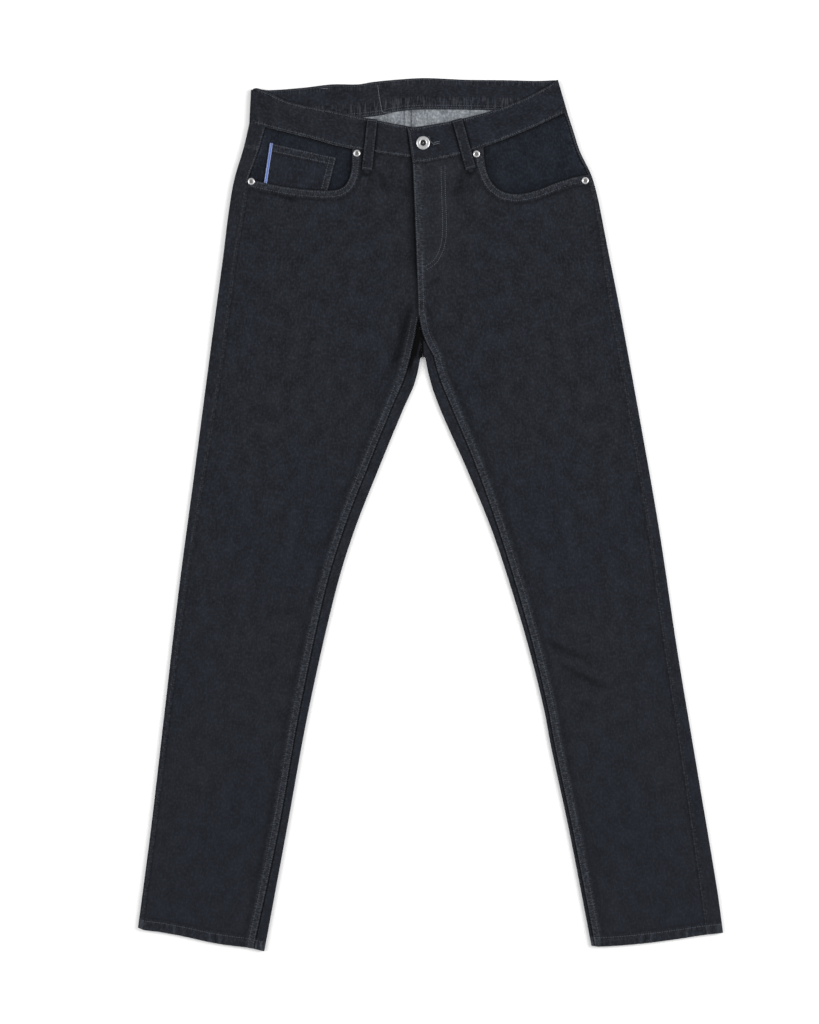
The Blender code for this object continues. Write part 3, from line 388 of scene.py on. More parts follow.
class Line:
    """A row of points seen from above, which tells how far away other points lie."""

    def __init__(self, points):
        self.points = np.array([tuple(point) for point in points], float)
        self.steps = np.diff(self.points, axis=0)
        self.lengths = np.linalg.norm(self.steps, axis=1)
        self.starts = np.concatenate([[0.0], np.cumsum(self.lengths)])
        self.length = self.starts[-1]

    def near(self, x, y):
        """Distance from the line, and the place along it."""
        best = np.full(np.shape(x), np.inf)
        along = np.zeros(np.shape(x))
        for a, d, length, start in zip(self.points, self.steps, self.lengths, self.starts):
            dx = x - a[0]
            dy = y - a[1]
            t = np.clip((dx * d[0] + dy * d[1]) / (length * length), 0.0, 1.0)
            away = np.hypot(dx - t * d[0], dy - t * d[1])
            closer = away < best
            best = np.where(closer, away, best)
            along = np.where(closer, start + t * length, along)
        return best, along

    def at(self, places):
        """Points at distances along the line."""
        return np.stack([np.interp(places, self.starts, self.points[:, k]) for k in (0, 1)], -1)

    def ways(self, places, reach=2.0):
        """Directions at distances along the line, smoothed over a few millimetres."""
        ahead = self.at(np.minimum(np.asarray(places) + reach, self.length))
        behind = self.at(np.maximum(np.asarray(places) - reach, 0.0))
        return unit(ahead - behind)

    def shifted(self, distance, spacing=4.0):
        """The same line moved to its left by a distance."""
        places = np.linspace(0.0, self.length, max(int(self.length / spacing), 2) + 1)
        way = self.ways(places)
        return Line(self.at(places) + np.stack([-way[:, 1], way[:, 0]], -1) * distance)

    def trimmed(self, start, end):
        """A stretch between two distances from its start, the second also from its end."""
        end = self.length + end if end <= 0.0 else end
        return Line(self.at(np.linspace(start, end, max(int((end - start) / 4.0), 2) + 1)))


def cut(side, place):
    """Where the outline and the seams lie at places down a leg, from waist 0 to hem 10."""
    place = np.asarray(place, float)
    sign = side_sign(side)
    hip_outer, front_y, back_y = curve(LEVELS[side], np.minimum(place, FORK_PLACE))
    fan = np.clip(place - FORK_PLACE, 0.0, 1.0)
    leg = np.clip(place - LEG_PLACE, 0.0, 1.0)
    below = mix(LEVELS[side][-1].outer_y - FORK_DROP * fan, OUTER_EDGE[side][-1].y, leg)
    outer, inset = outer_point(side, np.where(place <= FORK_PLACE, hip_outer, below))

    leg_edge, leg_seam = inner_point(side, mix(INNER_EDGE[side][0].y, INNER_EDGE[side][-1].y, leg))
    fork_seam = along_points(FORK_SEAM[side], fan * (len(FORK_SEAM[side]) - 1.0))
    fork_edge = fork_point(mix(FORK_LEAN, sign * FORK_TURN, fan))
    apart = sign * SEAM_GAP / 2.0 * beside(fan, 0.2)
    past = ease(leg / FORK_BLEND)[..., None]
    edge = mix(fork_edge, leg_edge, past)
    seam = mix(fork_seam, leg_seam, past)
    edge[..., 0] += apart
    seam[..., 0] += apart
    way = unit(seam - edge)
    aside = unit(mix(np.array([sign, 0.0]), way, fan[..., None]))

    half = sign * SEAM_GAP / 2.0
    front = np.stack([centre_x(front_y) + half, front_y], -1)
    back = np.stack([centre_x(back_y) + half * 0.1, back_y], -1)
    in_hip = (place < FORK_PLACE)[..., None]
    return {"outer": outer, "inset": inset, "edge": edge, "way": way, "seam": seam,
            "inner_inset": np.linalg.norm(seam - edge, axis=-1),
            "front": np.where(in_hip, front, seam + aside * SEAM_GAP),
            "back": np.where(in_hip, back, edge + way * BASE_INSET)}


def outseam_point(data, gap=0.0):
    """Points on the outseam, or a gap past it, on each cut across a leg."""
    return data["outer"] + unit(data["front"] - data["outer"]) * (data["inset"] + gap)[..., None]


def fold_edge_lines():
    """The folded edges seen from above."""
    lines = []
    for side in SIDES:
        ys = np.linspace(OUTER_EDGE[side][0].y, OUTER_EDGE[side][-1].y, 61)
        corner = WAIST_TOP[side][0] if side == "right" else WAIST_TOP[side][-1]
        lines.append(Line([tuple(corner), *outer_point(side, ys)[0]]))
        fork = fork_point(np.linspace(FORK_LEAN, side_sign(side) * FORK_TURN, 7))
        ys = np.linspace(INNER_EDGE[side][0].y, INNER_EDGE[side][-1].y, 61)
        lines.append(Line([*fork, *inner_point(side, ys)[0][1:]]))
    return lines


FOLD_LINES = fold_edge_lines()


def fold_distance(x, y):
    """Distance from the nearest folded edge."""
    return np.min([line.near(x, y)[0] for line in FOLD_LINES], axis=0)


def hem_ends(side):
    """Outer and inner corner of a leg's hem."""
    return (outer_point(side, np.array(OUTER_EDGE[side][-1].y))[0],
            inner_point(side, np.array(INNER_EDGE[side][-1].y))[0])


HEM_ENDS = {side: hem_ends(side) for side in SIDES}


def on_side(side, x):
    """Whether points lie on one leg's side of the middle."""
    return (x < 0.0) if side == "right" else (x >= 0.0)


def hem_distance(x, y):
    """Height above the hem of the leg on this side."""
    result = np.zeros(np.shape(x))
    for side in SIDES:
        a, b = HEM_ENDS[side]
        across = (b[0] - a[0]) * (y - a[1]) - (b[1] - a[1]) * (x - a[0])
        away = np.abs(across) / np.hypot(b[0] - a[0], b[1] - a[1])
        result = np.where(on_side(side, x), away, result)
    return result


def hem_bow(x, y):
    """How far points near a hem move down to its rounded line."""
    drop = np.zeros(np.shape(x))
    for side in SIDES:
        outer, inner = HEM_ENDS[side]
        share = np.clip((x - outer[0]) / (inner[0] - outer[0]), 0.0, 1.0)
        mine = on_side(side, x) & (y <= 0.0)
        drop = np.where(mine, curve(HEM_BOW[side], share)[0], drop)
    return drop * (1.0 - ease(hem_distance(x, y) / HEM_BOW_REACH))


# Heights of the cloth


def seat_lift(y):
    """Height of the underside, which rests on the back pockets at the hip."""
    return SEAT_LIFT * ease((y - SEAT_LIFT_NONE_Y) / (SEAT_LIFT_FULL_Y - SEAT_LIFT_NONE_Y))


def wander(s, period, seed):
    """An uneven wave along a seam, from -1 to 1."""
    turns = 2.0 * math.pi * s / period
    bend = 1.4 * np.sin(turns / 4.3 + seed) + 0.9 * np.sin(turns / 9.1 + 2.0 * seed)
    strength = 0.62 + 0.38 * np.sin(turns / 5.7 + 3.1 * seed)
    return np.sin(turns + bend + seed) * strength


def soft_folds(x, y):
    """Height that the soft folds of the front add or take."""
    height = np.zeros(np.shape(x))
    for fold in FOLDS:
        line = Line([(fold.x0, fold.y0), (fold.x1, fold.y1)])
        away, along = line.near(x, y)
        t = along / line.length
        height += fold.height * ease(t / 0.3) * ease((1.0 - t) / 0.3) * ease(
            1.0 - away / fold.width)
    return height


def top_z(x, y):
    """Height of the upper side of the garment, as the solids have it."""
    middle = mix(LEG_MIDDLE, HIP_MIDDLE, ease((y - LEG_MIDDLE_Y) / (HIP_MIDDLE_Y - LEG_MIDDLE_Y)))
    near_hem = 1.0 - ease((hem_distance(x, y) - HEM_HEIGHT - HEM_STEP) / HEM_REACH)
    middle = np.where(y < LEG_MIDDLE_Y, mix(middle, HEM_MIDDLE, near_hem), middle)
    near_fold = 1.0 - ease((fold_distance(x, y) - FOLD_RADIUS) / FOLD_REACH)
    return seat_lift(y) + mix(middle, 2.0 * FOLD_RADIUS, near_fold) + soft_folds(x, y)


def seam_lines():
    """Every seam of the upper side as a line seen from above."""
    lines = {}
    for side in SIDES:
        place = np.concatenate([np.linspace(0.0, FORK_PLACE, 49), np.linspace(8.1, 10.0, 80)])
        lines[f"{side}_outseam"] = Line(outseam_point(cut(side, place)))
        place = np.concatenate([np.linspace(8.0, 9.0, 13), np.linspace(9.02, 10.0, 80)])
        lines[f"{side}_inseam"] = Line(cut(side, place)["seam"])
        lines[f"{side}_hem"] = Line(HEM_ENDS[side])
        mouth = along_points(SCOOP[side], np.linspace(0.0, len(SCOOP[side]) - 1.0, 57))
        top = (SCOOP[side][-1].x, seam_y(WAIST_SEAM[side], SCOOP[side][-1].x))
        begin = outseam_point(cut(side, np.array(MOUTH_PLACE)))
        lines[f"{side}_mouth"] = Line([begin, *mouth, top])
        xs = np.linspace(WAIST_SEAM[side][0].x, WAIST_SEAM[side][-1].x, 40)
        lines[f"{side}_waist"] = Line(np.stack([xs, seam_y(WAIST_SEAM[side], xs)], -1))
        lines[f"{side}_loop"] = Line(FRONT_LOOPS[side])
        yoke = cut(side, np.array(YOKE_PLACE))
        lines[f"{side}_yoke"] = Line([yoke["outer"], outseam_point(yoke)])
    ys = np.linspace(CENTRE[1].y, FORK_SEAM["right"][0].y, 60)
    lines["centre"] = Line(np.stack([centre_x(ys), ys], -1))
    lines["coin_top"] = Line(COIN_POCKET[:2])
    lines["coin_side"] = Line(COIN_POCKET[1:3])
    return lines


LINES = seam_lines()
CREASE_LINES = [(crease, Line(crease.points)) for crease in CREASES]


def near_line(name, x, y):
    """Distance from a seam, and the place along it."""
    return LINES[name].near(x, y)


def creases(x, y):
    """Height and painted shade that the listed creases give."""
    height = np.zeros(np.shape(x))
    tone = np.zeros(np.shape(x))
    for crease, line in CREASE_LINES:
        away, along = line.near(x, y)
        t = along / line.length
        share = ease(t / 0.25) * ease((1.0 - t) / 0.35) * ease(1.0 - away / crease.width)
        height += crease.depth * share
        # Painted shade in the crease's trough.
        tone = np.maximum(tone, crease.tone * share)
    return height, tone


SEAM_SEEDS = {"right": 0.3, "left": 1.9}


def felled(away, along, seed):
    """Relief beside a felled seam: a raised band, stitch grooves and puckers."""
    band = ease((away + 0.4) / 1.0) * fade(away, FELL_WIDTH, 1.6)
    groove = stitch_rows(away, *FELL_ROWS)
    pucker = wander(along, PUCKER_PERIOD, seed) * fade(away, 8.0, 10.0)
    return 0.5 * band - 0.2 * groove + 0.3 * pucker


def plain_seam(away, along, seed):
    """Relief beside an open seam: a soft ridge over the allowance and a sharp join."""
    pucker = wander(along, 9.5, seed) * beside(away - 2.0, 9.0)
    return 0.28 * fade(away, 9.0, 5.0) - 0.5 * ridge(away, 0.0, 0.9) + 0.18 * pucker


def hem_roping(along, away):
    """The slanting twisted ridges of a turned-up hem, from -1 to 1."""
    return wander(along + 0.25 * away, 9.6, 0.7)


def hem_relief(side, x, y):
    """The turned-up hem: its stitched step and the twisted ridges of the fold."""
    away, along = near_line(f"{side}_hem", x, y)
    step = 0.3 * (1.0 - ease((away - HEM_HEIGHT + 0.6) / 1.4))
    roping = 0.42 * hem_roping(along, away) * fade(away, 10.0, 4.0)
    above = 0.18 * wander(along, 12.0, 2.1) * ease((away - 10.0) / 3.0) * fade(away, 14.0, 16.0)
    return step - 0.3 * ridge(away, HEM_ROW, 0.9) + roping + above


def mouth_relief(side, x, y):
    """The pocket mouth's turned hem, with two rows of stitches and a trough beside it."""
    away, along = near_line(f"{side}_mouth", x, y)
    groove = 0.18 * stitch_rows(away, *MOUTH_ROWS)
    pucker = 0.2 * wander(along, 8.0, 0.9) * fade(away, 7.0, 12.0)
    band = 0.45 * fade(away, MOUTH_BAND, 1.4)
    return band - groove - 0.5 * ridge(away, 12.2, 2.0) + pucker


def fly_relief(x, y):
    """The left front's fly edge, and the felled rise seam below it."""
    away, along = near_line("centre", x, y)
    fly = ease((y - FLY_FOOT_Y) / 10.0)
    groove = 0.16 * stitch_rows(away, 1.6, 7.2)
    pucker = 0.26 * wander(along, 6.0, 1.3) * fade(away, 5.0, 7.0)
    facing = 0.3 * fade(away, 50.0, 3.0) * fly
    return 0.35 * fade(away, 8.2, 1.4) - groove + pucker + facing


def right_fly_drop(x, y):
    """How far the right front lies lower where the left front covers it."""
    before = centre_x(y) - x
    step = ease((FLY_STEP_START - before) / (FLY_STEP_START - FLY_STEP_END))
    return FLY_DROP * step * ease((y - FLY_FOOT_Y + FLY_FADE) / FLY_FADE)


def front_z(side, x, y):
    """Height of a front panel with its sewn relief."""
    z = top_z(x, y) + felled(*near_line(f"{side}_inseam", x, y), SEAM_SEEDS[side])
    below = ease((LEVELS[side][2].outer_y + 4.0 - y) / 8.0)
    z = z + plain_seam(*near_line(f"{side}_outseam", x, y), 1.1) * below
    z = z + hem_relief(side, x, y) + mouth_relief(side, x, y) + creases(x, y)[0]
    return z + fly_relief(x, y) if side == "left" else z - right_fly_drop(x, y)


# The dark gap between the parted seams below the fly: the back sinks there and takes painted
# shadow, left off along a lit edge
HOLLOW_X = -12.0
HOLLOW_REACH = 34.0
HOLLOW_TOP_Y = 268.0
HOLLOW_END_Y = 199.0
SLOT_END_Y = 172.0
HOLLOW_DEPTH = 0.7
LIT_EDGE = Line([(-12.6, 223.0), (-16.0, 211.3), (-19.3, 187.9), (-21.3, 174.9)])


def hollow(side, x, y):
    """How far the back sinks between the parted front seams and how dark its painted shadow is,
    from 0 to 1.
    """
    away = near_line(f"{side}_inseam", x, y)[0]
    here = (np.abs(x - HOLLOW_X) < HOLLOW_REACH) & (y > SLOT_END_Y) & (y < HOLLOW_TOP_Y)
    wide = ease((y - HOLLOW_END_Y) / 8.0) * np.maximum(ease((-7.5 - x) / 2.5),
                                                       ease((y - 220.0) / 8.0))
    slot = fade(away, 4.0, 3.0) * ease((y - SLOT_END_Y) / 24.0)
    slot = slot * (0.97 if side == "right" else 0.3)
    # The painted shadow is left off along the fold's edge, which looks lit.
    lit = 1.0 - 0.85 * beside(LIT_EDGE.near(x, y)[0], 1.9)
    return np.where(here, np.maximum(wide, slot) * lit, 0.0)


def strip_z(side, x, y):
    """Height of the back panel where it wraps on to the upper side."""
    z = top_z(x, y) + plain_seam(*near_line(f"{side}_outseam", x, y), 1.1)
    away, along = near_line(f"{side}_inseam", x, y)
    pucker = wander(along, PUCKER_PERIOD, SEAM_SEEDS[side]) * fade(away, 2.0, 8.0)
    z = z - 0.5 * ridge(away, 0.0, 1.0) + 0.26 * pucker + hem_relief(side, x, y)
    return z - HOLLOW_DEPTH * hollow(side, x, y)


# Where the cloth is rubbed pale, where shade is painted on it, and where it is sewn


def sewn_bands(bands):
    """For each point the nearest sewn band: distance, place along it and strength."""
    best = np.full(np.shape(bands[0][0]), np.inf)
    result = np.zeros((*best.shape, 3))
    for away, along, width, strength in bands:
        score = np.abs(away) / width
        power = strength * fade(score, 1.0, 0.25)
        nearer = score < best
        best = np.where(nearer, score, best)
        result = np.where(nearer[..., None], np.stack([away, along, power], -1), result)
    return result


def hem_marks(side, x, y):
    """Pale ridges of wear and painted light, pale worn edge, and painted shadow and shade of a
    turned-up hem.
    """
    away, along = near_line(f"{side}_hem", x, y)
    inside = fade(away, 11.0, 2.0)
    # The pale bars on the roping's ridges are wear and painted light.
    bars = np.clip(hem_roping(along, away), 0.0, 1.0)
    wear_and_highlight = inside * (0.03 + 0.6 * bars ** 3) + 0.3 * beside(away, 2.0)
    corner = np.minimum(along, LINES[f"{side}_hem"].length - along)
    crossing = np.minimum(near_line(f"{side}_outseam", x, y)[0],
                          near_line(f"{side}_inseam", x, y)[0])
    wear_and_highlight = wear_and_highlight + inside * (0.5 * beside(corner, 13.0) + 0.4 * beside(crossing, 5.0))
    # Painted shadow in a broken line above the hem's step, and painted shade in the roping's
    # troughs.
    shade = 0.35 * ridge(away, 16.0, 1.6) * (0.6 + 0.4 * wander(along, 21.0, 0.4))
    shade = shade + inside * 0.3 * np.clip(-hem_roping(along, away), 0.0, 1.0)
    return wear_and_highlight, shade, (away, along, 13.0, 0.32)


def front_marks(side, x, y):
    """Where a front panel is rubbed pale, where painted shade and shadow lie on it, and where it
    is sewn.
    """
    inseam, inseam_at = near_line(f"{side}_inseam", x, y)
    outseam, outseam_at = near_line(f"{side}_outseam", x, y)
    mouth, mouth_at = near_line(f"{side}_mouth", x, y)
    centre, centre_at = near_line("centre", x, y)
    loop = near_line(f"{side}_loop", x, y)[0]
    waist = near_line(f"{side}_waist", x, y)[0]
    hem_wear_and_highlight, hem_shade, hem_band = hem_marks(side, x, y)
    above_fork = ease((y - 196.0) / 34.0) if side == "right" else 0.4 * ease((y - 205.0) / 30.0)
    bands = [(inseam, inseam_at, FELL_WIDTH, 0.8 - 0.6 * above_fork),
             (outseam, outseam_at, 2.6, 0.6), (mouth, mouth_at, MOUTH_BAND, 0.6), hem_band]
    wear_and_highlight = hem_wear_and_highlight + 0.22 * beside(mouth, 1.6) + 0.3 * beside(outseam, 1.7)
    wear_and_highlight = wear_and_highlight + 0.12 * fade(inseam, FELL_WIDTH, 1.2) + 0.14 * beside(
        np.abs(mouth - 4.8), 5.4)
    # Painted shade and shadow: in creases, above and in the hem, along the inseam's join, in the
    # valley beside the felled band, beside the outseam's ridge, under the mouth's hemmed edge,
    # under the waistband and beside the belt loops.
    shade = deepest(creases(x, y)[1], hem_shade, 0.7 * ridge(inseam, 0.0, 0.9),
                    0.26 * ridge(inseam, FELL_WIDTH + 5.0, 4.5), 0.4 * ridge(outseam, 2.9, 1.2),
                    0.42 * ridge(mouth, MOUTH_BAND + 2.4, 2.2), 0.5 * beside(waist, 3.2),
                    0.75 * beside(np.abs(loop - LOOP_WIDTH / 2.0), 4.5))
    bands.append((centre, centre_at, RISE_BAND, 0.8 if side == "left" else 0.0))
    if side == "left":
        wear_and_highlight = wear_and_highlight + 0.12 * fade(centre, RISE_BAND, 1.2) + 0.25 * beside(centre, 1.2)
        wear_and_highlight = wear_and_highlight + 0.06 * fade(centre, 50.0, 3.0) * ease((y - 300.0) / 30.0)
    else:
        # On the right front: painted shadow of the fly's edge, and painted shade on the felled
        # band near the fork.
        reach = 5.0 + 7.0 * ease((y - 290.0) / 40.0)
        shade = deepest(shade, 0.62 * fade(centre, 1.5, reach),
                        0.34 * above_fork * beside(inseam - 3.0, 12.0))
    return {"wear_and_highlight": wear_and_highlight, "shade": shade, "sewn": sewn_bands(bands)}


def strip_marks(side, x, y, upper):
    """Where the back panel or yoke is rubbed pale, where painted shade lies on it, and where it is
    sewn, most of it on top.
    """
    inseam, inseam_at = near_line(f"{side}_inseam", x, y)
    outseam, outseam_at = near_line(f"{side}_outseam", x, y)
    yoke, yoke_at = near_line(f"{side}_yoke", x, y)
    hem_wear_and_highlight, hem_shade, hem_band = hem_marks(side, x, y)
    bands = [(-inseam, inseam_at, 3.0, 0.3 * upper), (-outseam, outseam_at, 2.2, 0.6 * upper),
             (yoke, yoke_at, 3.4, 0.8 * upper), hem_band]
    # Painted shadow in the gap between the parted front seams, and painted shade along the
    # inseam's join.
    painted_hollow_shadow = hollow(side, x, y) * upper
    wear_and_highlight = hem_wear_and_highlight + upper * (0.3 * beside(outseam, 1.7) + 0.3 * beside(yoke, 2.4))
    shade = np.maximum(0.75 * ridge(inseam, 0.0, 1.1) * upper, hem_shade)
    return {"wear_and_highlight": wear_and_highlight * (1.0 - painted_hollow_shadow), "shade": np.maximum(shade, painted_hollow_shadow),
            "sewn": sewn_bands(bands)}


# Materials


class Shading:
    """A material whose nodes are made by one method and whose sums are Python ones."""

    def __init__(self, name):
        self.material = bpy.data.materials.new(name)
        self.material.use_nodes = True
        self.tree = self.material.node_tree
        self.surface = self.tree.nodes["Principled BSDF"]

    def node(self, kind, settings=None, sockets=None, output=0):
        """Add a node, set it up, feed its sockets and return one of its outputs."""
        made = self.tree.nodes.new(kind)
        for key, value in (settings or {}).items():
            setattr(made, key, value)
        for key, value in (sockets or {}).items():
            self.feed(made.inputs[key], value)
        return Socket(self, made.outputs[output])

    def feed(self, socket, value):
        """Link or set one input."""
        if isinstance(value, Socket):
            self.tree.links.new(value.socket, socket)
        else:
            socket.default_value = value

    def set(self, **values):
        """Feed the surface's sockets, named with underscores for spaces."""
        for key, value in values.items():
            self.feed(self.surface.inputs[key.replace("_", " ")], value)

    def attribute(self, name, output=2):
        return self.node("ShaderNodeAttribute", {"attribute_name": name}, output=output)

    def cloth(self):
        """The cloth's own coordinates in metres, across and along the warp."""
        return self.node("ShaderNodeUVMap", {"uv_map": "cloth"})

    def place(self):
        """Object coordinates."""
        return self.node("ShaderNodeTexCoord", output=3)

    def scaled(self, vector, factors):
        """A vector with each part scaled on its own."""
        return self.node("ShaderNodeVectorMath", {"operation": "MULTIPLY"},
                         {0: vector, 1: factors})

    def stretched(self, across, along):
        """Cloth coordinates scaled across and along the warp."""
        return self.scaled(self.cloth(), (across, along, 1.0))

    def noise(self, vector, low, high, detail=2.0, scale=1.0):
        """Noise rescaled so that low is 0 and high is 1."""
        value = self.node("ShaderNodeTexNoise", None,
                          {"Vector": vector, "Scale": scale, "Detail": detail})
        return self.ramp(value, low, high)

    def ramp(self, value, low, high):
        """A value rescaled so that low is 0 and high is 1."""
        return self.node("ShaderNodeMapRange", {"clamp": True},
                         {"Value": value, "From Min": low, "From Max": high})

    def blend(self, factor, a, b):
        """Mix two colours."""
        return self.node("ShaderNodeMix", {"data_type": "RGBA"}, {0: factor, 6: a, 7: b},
                         output=2)

    def bump(self, strength, distance, height):
        return self.node("ShaderNodeBump", None,
                         {"Strength": strength, "Distance": distance, "Height": height})


class Socket:
    """An output socket that can be used in sums."""

    def __init__(self, shading, socket):
        self.shading = shading
        self.socket = socket

    def maths(self, operation, *values):
        return self.shading.node("ShaderNodeMath", {"operation": operation},
                                 dict(enumerate(values)))

    def part(self, index):
        """One of the three parts of a vector."""
        return self.shading.node("ShaderNodeSeparateXYZ", None, {0: self}, output=index)

    def __add__(self, other):
        return self.maths("ADD", self, other)

    __radd__ = __add__

    def __mul__(self, other):
        return self.maths("MULTIPLY", self, other)

    __rmul__ = __mul__

    def __sub__(self, other):
        return self.maths("SUBTRACT", self, other)

    def __rsub__(self, other):
        return self.maths("SUBTRACT", other, self)

    def sine(self):
        return self.maths("SINE", self)

    def size(self):
        return self.maths("ABSOLUTE", self)

    def clamp(self):
        return self.maths("MAXIMUM", self.maths("MINIMUM", self, 1.0), 0.0)


def linear(red, green, blue):
    """A screen colour from 0 to 255 as a shader colour."""
    values = []
    for level in (red, green, blue):
        s = level / 255.0
        values.append(s / 12.92 if s <= 0.04045 else ((s + 0.055) / 1.055) ** 2.4)
    return (*values, 1.0)


TWILL_PITCH = 0.00085
TWILL_SLOPE = 1.9
# The near-black towards which painted shade and shadow are mixed.
PAINTED_SHADE_BLACK = linear(3, 3, 4)


def twill(shade):
    """The diagonal ribs of the weave, from 0 to 1."""
    uv = shade.cloth()
    turns = 2.0 * math.pi / TWILL_PITCH
    wobble = shade.noise(shade.stretched(260.0, 60.0), 0.0, 1.0, 1.0) * 1.8
    slant = uv.part(0) * (turns * TWILL_SLOPE / 2.0) + uv.part(1) * (turns / 2.0)
    return (slant + wobble).sine() * 0.5 + 0.5


def denim(name, dark, light, worn_and_lit, hue, contrast=1.0):
    """Twill with fine pale flecks, seam dashes of wear and painted light with painted shade
    between them, rubbed places with some painted highlight, and painted shade and shadow.
    """
    shade = Shading(name)
    flecks = shade.noise(shade.stretched(360.0, 250.0), 0.46, 0.76)
    slubs = shade.noise(shade.stretched(540.0, 120.0), 0.46, 0.78)
    picks = shade.noise(shade.stretched(150.0, 480.0), 0.48, 0.80)
    clouds = shade.noise(shade.stretched(62.0, 44.0), 0.34, 0.68)
    strength = shade.ramp(shade.place().part(1), -0.55, 0.25) * 0.4 + 0.62
    ribs = twill(shade)
    texture = flecks * 0.5 + slubs * 0.26 + picks * 0.18 + clouds * 0.26 + ribs * 0.05
    pale = (0.33 + (texture - 0.33) * strength * contrast).clamp()
    drift = shade.noise(shade.stretched(8.0, 5.0), 0.36, 0.64)
    base = shade.blend(drift * 0.5, shade.blend(pale, dark, light), shade.blend(pale, dark, hue))

    sewn = shade.attribute("sewn", 1)
    power = sewn.part(2)
    dashes = shade.noise(shade.scaled(sewn, (0.2, 0.46, 0.0)), 0.47, 0.68, 1.0)
    # Painted shade between the seam dashes, standing in for the shade of the puckers.
    base = shade.blend((power * (0.25 - dashes * 0.25)).clamp(), base, PAINTED_SHADE_BLACK)
    wear_and_highlight = shade.attribute("wear_and_highlight")
    patchy = shade.noise(shade.stretched(330.0, 330.0), 0.36, 0.66)
    # Pale seam dashes and flecks are wear and painted light on the pucker crests; the rubbed mark
    # is wear, with painted highlight on the waistband's edges.
    lift = power * dashes * 0.5 + power * flecks * 0.12 + wear_and_highlight * (patchy * 0.75 + 0.25)
    base = shade.blend(lift.clamp(), base, worn_and_lit)
    # Painted shade and shadow from the shade mark: in creases and gaps, beside raised edges, under
    # laps and loops; a few dark seam lines too.
    base = shade.blend(shade.attribute("shade").clamp(), base, PAINTED_SHADE_BLACK)
    height = ribs * 0.4 + slubs * 0.3 + flecks * 0.5
    shade.set(Base_Color=base, Roughness=0.95, Specular_IOR_Level=0.05,
              Normal=shade.bump(0.5, 0.0003, height), Sheen_Weight=0.02, Sheen_Roughness=0.6)
    return shade.material


def thread(name, colour):
    """Sewing thread, with painted highlights in flecks where its plies turn."""
    shade = Shading(name)
    fleck = shade.noise(shade.place(), 0.3, 0.7, 1.0, 900.0)
    # Painted highlight: the flecks are the thread's colour made paler as if lit.
    painted_highlight = tuple(c * 1.6 for c in colour[:3]) + (1.0,)
    shade.set(Base_Color=shade.blend(fleck, colour, painted_highlight), Roughness=0.75,
              Specular_IOR_Level=0.15)
    return shade.material


def nickel(name, colour, roughness, wear, metallic=1.0):
    """Worn plated metal."""
    shade = Shading(name)
    place = shade.place()
    marks = shade.noise(place, 0.4, 0.7, 4.0, 900.0)
    patches = shade.noise(place, 0.42, 0.62, 2.0, 260.0)
    dark = tuple(c * wear for c in colour[:3]) + (1.0,)
    shade.set(Base_Color=shade.blend(marks * patches * 0.6, colour, dark), Metallic=metallic,
              Roughness=patches * 0.12 + roughness, Normal=shade.bump(0.25, 0.0002, marks))
    return shade.material


def selvedge_tape():
    """The cloth's own finished edge: white with a blue stripe."""
    shade = Shading("selvedge")
    uv = shade.cloth()
    picks = (uv.part(1) * (2.0 * math.pi / 0.0011)).sine() * 0.5 + 0.5
    away = (uv.part(0) - SELVEDGE_WIDTH * MM * 0.55).size()
    middle = 1.0 - shade.ramp(away, 0.0004, 0.0011)
    flecks = shade.noise(shade.stretched(500.0, 900.0), 0.35, 0.65)
    white = shade.blend(flecks, linear(146, 156, 188), linear(96, 110, 152))
    blue = shade.blend(flecks, linear(56, 82, 150), linear(80, 104, 164))
    shade.set(Base_Color=shade.blend(middle, white, blue), Roughness=0.85,
              Specular_IOR_Level=0.15, Normal=shade.bump(0.6, 0.0003, picks))
    return shade.material


DENIM = denim("denim", linear(18.5, 20, 23.5), linear(42, 44.5, 51), linear(66, 69, 75),
              linear(38, 43, 56))
# A darker, bluer copy of the denim for the pocket facings: painted shade where they lie low in the
# pocket mouths.
DENIM_SHADED = denim("denim_facing", linear(15.5, 18, 23), linear(37, 41, 48.5), linear(58, 62, 70),
                   linear(34, 40, 53))
REVERSE = denim("denim_reverse", linear(88, 92, 97), linear(150, 154, 158),
                linear(176, 179, 182), linear(146, 151, 158), 1.3)
THREAD = thread("thread", linear(66, 69, 75))
THREAD_PALE = thread("thread_pale", linear(98, 101, 106))
NICKEL = nickel("nickel", (0.52, 0.52, 0.53, 1.0), 0.32, 0.6)
# Near-black dull copies of the metal: painted shade in the rivets' dimples and the button's
# hollow.
RIVET_HOLLOW_SHADE = nickel("rivet_hollow_painted_shade", (0.11, 0.105, 0.1, 1.0), 0.7, 0.5, 0.0)
BUTTON_HOLLOW_SHADE = nickel("button_hollow_painted_shade", (0.008, 0.008, 0.009, 1.0), 0.8, 0.4, 0.0)
SELVEDGE = selvedge_tape()


# Pieces of cloth


def read_all(items, field, width=3, kind=np.float32):
    """One field of all vertices, faces or corners as rows of numbers."""
    flat = np.empty(len(items) * width, kind)
    items.foreach_get(field, flat)
    return flat.reshape(-1, width)


